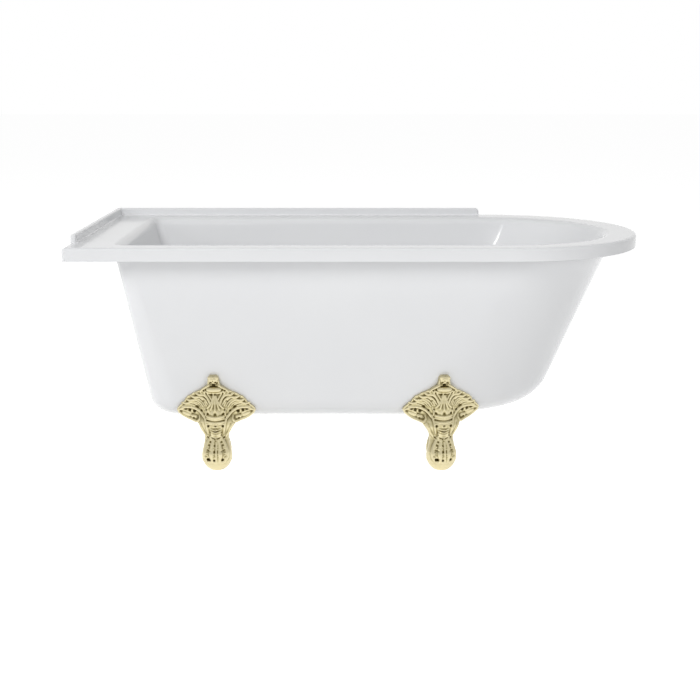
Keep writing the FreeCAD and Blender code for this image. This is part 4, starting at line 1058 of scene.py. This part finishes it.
# %% The skin as a seat
def make_seat():
    """The skin's outside as one closed form, for the feet to lie against."""
    top = skin_wall_ring(0, RIM_LOW)
    bottom = skin_floor_rings(0)
    rings = [top] + between(top, bottom[0], np.linspace(0, 1, 10)[1:-1]) + bottom
    centre = np.tile([WASTE[0] + 0.3, WASTE[1], 0.0], (len(top), 1))
    lid, base = centre.copy(), centre.copy()
    lid[:, 2], base[:, 2] = RIM_LOW, SKIN_LOW
    rings = between(top, lid, (0.999, 0.4)) + rings + between(bottom[-1], base, (0.5, 0.999))
    return moulding("seat", rings)


seat = make_seat()
print("the seat has", len(seat.data.polygons), "faces")


# %% One foot in its place
SEAT_GAP = 0.3 * MM
LEAN_FROM, LEAN_OVER = 165.0, 90.0
CLAW_FROM, CLAW_OVER = 112.0, 62.0
BEND_FROM, BEND_OVER = 118.0, 30.0


def wall_world_y(x, z):
    """Depth of the room-side wall at a place along the bath, on its straight or its curving stretch."""
    drop = RIM_LOW - z
    share = drop / SKIN_HEIGHT
    inset = SKIN_TOP["inset"][:, None] + np.tan(skin_draft)[:, None] * drop
    arc = RIGHT - (SKIN_TOP["arc"] + (SKIN_FOOT["arc"] - SKIN_TOP["arc"]) * share)
    half = HALF + MIDDLE - inset[1]
    along = np.clip((x - arc) / (RIGHT - inset[2] - arc), 0, 0.98)
    return MIDDLE - half * np.sqrt(1 - along**2)


def set_foot(name, x, yaw, lean, at_back):
    """One foot: leaned and turned, bent to the wall, mirrored for the wall side, and seated."""
    foot = casting.copy()
    foot.data = casting.data.copy()
    foot.name = name
    bpy.context.collection.objects.link(foot)
    points = read_points(foot.data)
    height = points[:, 2] / MM
    points[:, 0] -= lean * eased((height - LEAN_FROM) / LEAN_OVER)
    points[:, 1] -= CLAW_FORWARD * MM * eased((CLAW_FROM - height) / CLAW_OVER)
    axis_y = FRONT + FOOT_AXIS * MM
    turn = np.array([[math.cos(yaw), math.sin(yaw)], [-math.sin(yaw), math.cos(yaw)]])
    placed = points.copy()
    placed[:, :2] = points[:, :2] @ turn + [x, axis_y]
    depth = points[:, 1] - wall_y(height) * MM
    on_wall = wall_world_y(placed[:, 0], points[:, 2]) + depth
    bent = eased((height - BEND_FROM) / BEND_OVER)
    placed[:, 1] += (on_wall - placed[:, 1]) * bent
    if at_back:
        placed[:, 1] = 2 * MIDDLE - placed[:, 1]
    foot.data.vertices.foreach_set("co", placed.ravel())
    if at_back:
        foot.data.flip_normals()
    foot.data.update()
    applied(foot, "SHRINKWRAP", target=seat, wrap_mode="OUTSIDE", offset=SEAT_GAP)
    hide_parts("foot_" + name[len("claw_foot_"):])
    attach(foot, "tub")
    return foot


# %% Four feet
LEFT_FEET = {"x": LEFT + 360 * MM, "yaw": 0.0, "lean": 4 * MM}
RIGHT_FEET = {"x": RIGHT - 543 * MM, "yaw": math.radians(10), "lean": -2 * MM}
for end, where in (("left", LEFT_FEET), ("right", RIGHT_FEET)):
    for row, at_back in (("front", False), ("back", True)):
        foot = set_foot(f"claw_foot_{row}_{end}", **where, at_back=at_back)
        print(foot.name, "faces", len(foot.data.polygons))
for spare in (seat, casting):
    bpy.data.objects.remove(spare)

# %% [markdown]
# ## The overflow's hole
# The basin is still whole where the overflow passes through its end wall. It is drilled here, square to
# the wall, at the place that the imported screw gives. The foot bolts fill their holes in the skin, so
# those aren't drawn.

# %% Drill the basin
OVERFLOW_HOLE = 21 * MM
DRILL_REACH = 25 * MM


def drill_overflow():
    screw_low, screw_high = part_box("overflow_screw")
    at = (Vector(screw_low) + Vector(screw_high)) / 2
    drill = round_bar("drill", OVERFLOW_HOLE, -DRILL_REACH, DRILL_REACH, 0, 0)
    drill.rotation_euler = (0, math.pi / 2 - DRAFTS[0], 0)
    drill.location = at
    bpy.context.view_layer.update()
    applied(basin, "BOOLEAN", object=drill, operation="DIFFERENCE", solver="EXACT")
    bpy.data.objects.remove(drill)


drill_overflow()
print("the basin has", len(basin.data.polygons), "faces with its hole")

# %% The acrylic pieces stand for their nodes
for piece, node in ((basin, "inner_shell"), (skin, "outer_shell"), (strip, "tiling_upstand")):
    applied(piece, "WEIGHTED_NORMAL", keep_sharp=True)
    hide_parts(node)
    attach(piece, "tub")
    print(piece.name, "stands for", node)

# %% [markdown]
# ## Studio
# The bath stands on a plain pale floor under a plain pale sky. Four broad soft lamps light it: a strong
# one from the upper left in front, one above, and weaker ones from the left and the right. They are kept
# out of the reflections, where they would draw large panes, and two tiny lamps give the gloss its glints.
# The levels are set so that a colour renders about as written. The sky and the floor look white to the
# camera and in reflections. The floor glows a little, to fill the undersides, and it keeps the shadow.

# %% Sky and floor
SKY_LEVEL = 0.07
FLOOR_LIFT = 0.93
FLOOR_GLOW = 0.27
FLOOR_REACH = 30.0
FLOOR_GREY = "#E3E3E3"


def seen_directly(tree):
    """1 for rays from the camera and for reflected or refracted ones, 0 for light that only lights."""
    path = add_node(tree, "ShaderNodeLightPath").outputs
    larger = {"operation": "MAXIMUM"}
    both = add_node(tree, "ShaderNodeMath", larger, _0=path["Is Camera Ray"], _1=path["Is Glossy Ray"])
    every = add_node(tree, "ShaderNodeMath", larger, _0=both.outputs[0], _1=path["Is Transmission Ray"])
    return every.outputs[0]


def make_sky():
    world = bpy.data.worlds.new("studio")
    bpy.context.scene.world = world
    world.use_nodes = True
    tree = world.node_tree
    background = tree.nodes["Background"]
    background.inputs["Color"].default_value = linear("#FFFFFF")
    span = {"To Min": SKY_LEVEL, "To Max": 1.0}
    level = add_node(tree, "ShaderNodeMapRange", span, Value=seen_directly(tree))
    tree.links.new(level.outputs["Result"], background.inputs["Strength"])


def make_floor():
    mesh = bpy.data.meshes.new("studio_floor")
    reach = FLOOR_REACH
    corners = [(-reach, -reach, 0), (reach, -reach, 0), (reach, reach, 0), (-reach, reach, 0)]
    mesh.from_pydata(corners, [], [(0, 1, 2, 3)])
    floor = bpy.data.objects.new("studio_floor", mesh)
    bpy.context.collection.objects.link(floor)
    finish, tree, shader = new_finish("studio_floor", {"Roughness": 0.9, "Specular IOR Level": 0.0})
    shader.inputs["Base Color"].default_value = linear(FLOOR_GREY)
    shader.inputs["Emission Color"].default_value = linear("#FFFFFF")
    span = {"To Min": FLOOR_GLOW, "To Max": FLOOR_LIFT}
    lift = add_node(tree, "ShaderNodeMapRange", span, Value=seen_directly(tree))
    tree.links.new(lift.outputs["Result"], shader.inputs["Emission Strength"])
    mesh.materials.append(finish)


make_sky()
make_floor()
print("sky level", SKY_LEVEL, "and floor glow", FLOOR_GLOW)

# %% Lamps
AIM = Vector((0, 0, 0.35))


def add_lamp(name, place, power, size, in_gloss=False):
    """A square lamp aimed at the middle of the bath. Broad ones stay out of the reflections."""
    lamp = bpy.data.lights.new(name, "AREA")
    lamp.energy = power
    lamp.size = size
    holder = bpy.data.objects.new(name, lamp)
    bpy.context.collection.objects.link(holder)
    holder.location = place
    holder.visible_glossy = in_gloss
    holder.rotation_euler = (AIM - Vector(place)).to_track_quat("-Z", "Y").to_euler()


add_lamp("key_lamp", (-1.8, -3.9, 3.2), 92, 1.8)
add_lamp("top_lamp", (0.3, -0.2, 3.2), 23, 2.4)
add_lamp("left_lamp", (-4.0, -0.8, 1.7), 48, 1.6)
add_lamp("right_lamp", (2.4, -3.6, 1.6), 38, 1.2)
add_lamp("right_sparkle", (2.4, -3.6, 2.3), 1.5, 0.1, in_gloss=True)
add_lamp("left_sparkle", (-0.8, -3.4, 2.5), 1.5, 0.1, in_gloss=True)

# %% [markdown]
# ### Camera
# The camera stands in front, a little above the deck, where the rim's corners, its far edge and its round
# end fall on the same places as in the photo.

# %% Place the camera
camera = bpy.data.cameras.new("camera")
camera.lens = 62.15
camera.sensor_width = 36.0
viewer = bpy.data.objects.new("camera", camera)
bpy.context.collection.objects.link(viewer)
viewer.location = (-0.035, -3.345, 1.027)
viewer.rotation_euler = (math.radians(77.2), 0, 0)
bpy.context.scene.camera = viewer
bpy.context.scene.view_settings.view_transform = "Standard"
print("camera at", tuple(round(v, 3) for v in viewer.location))
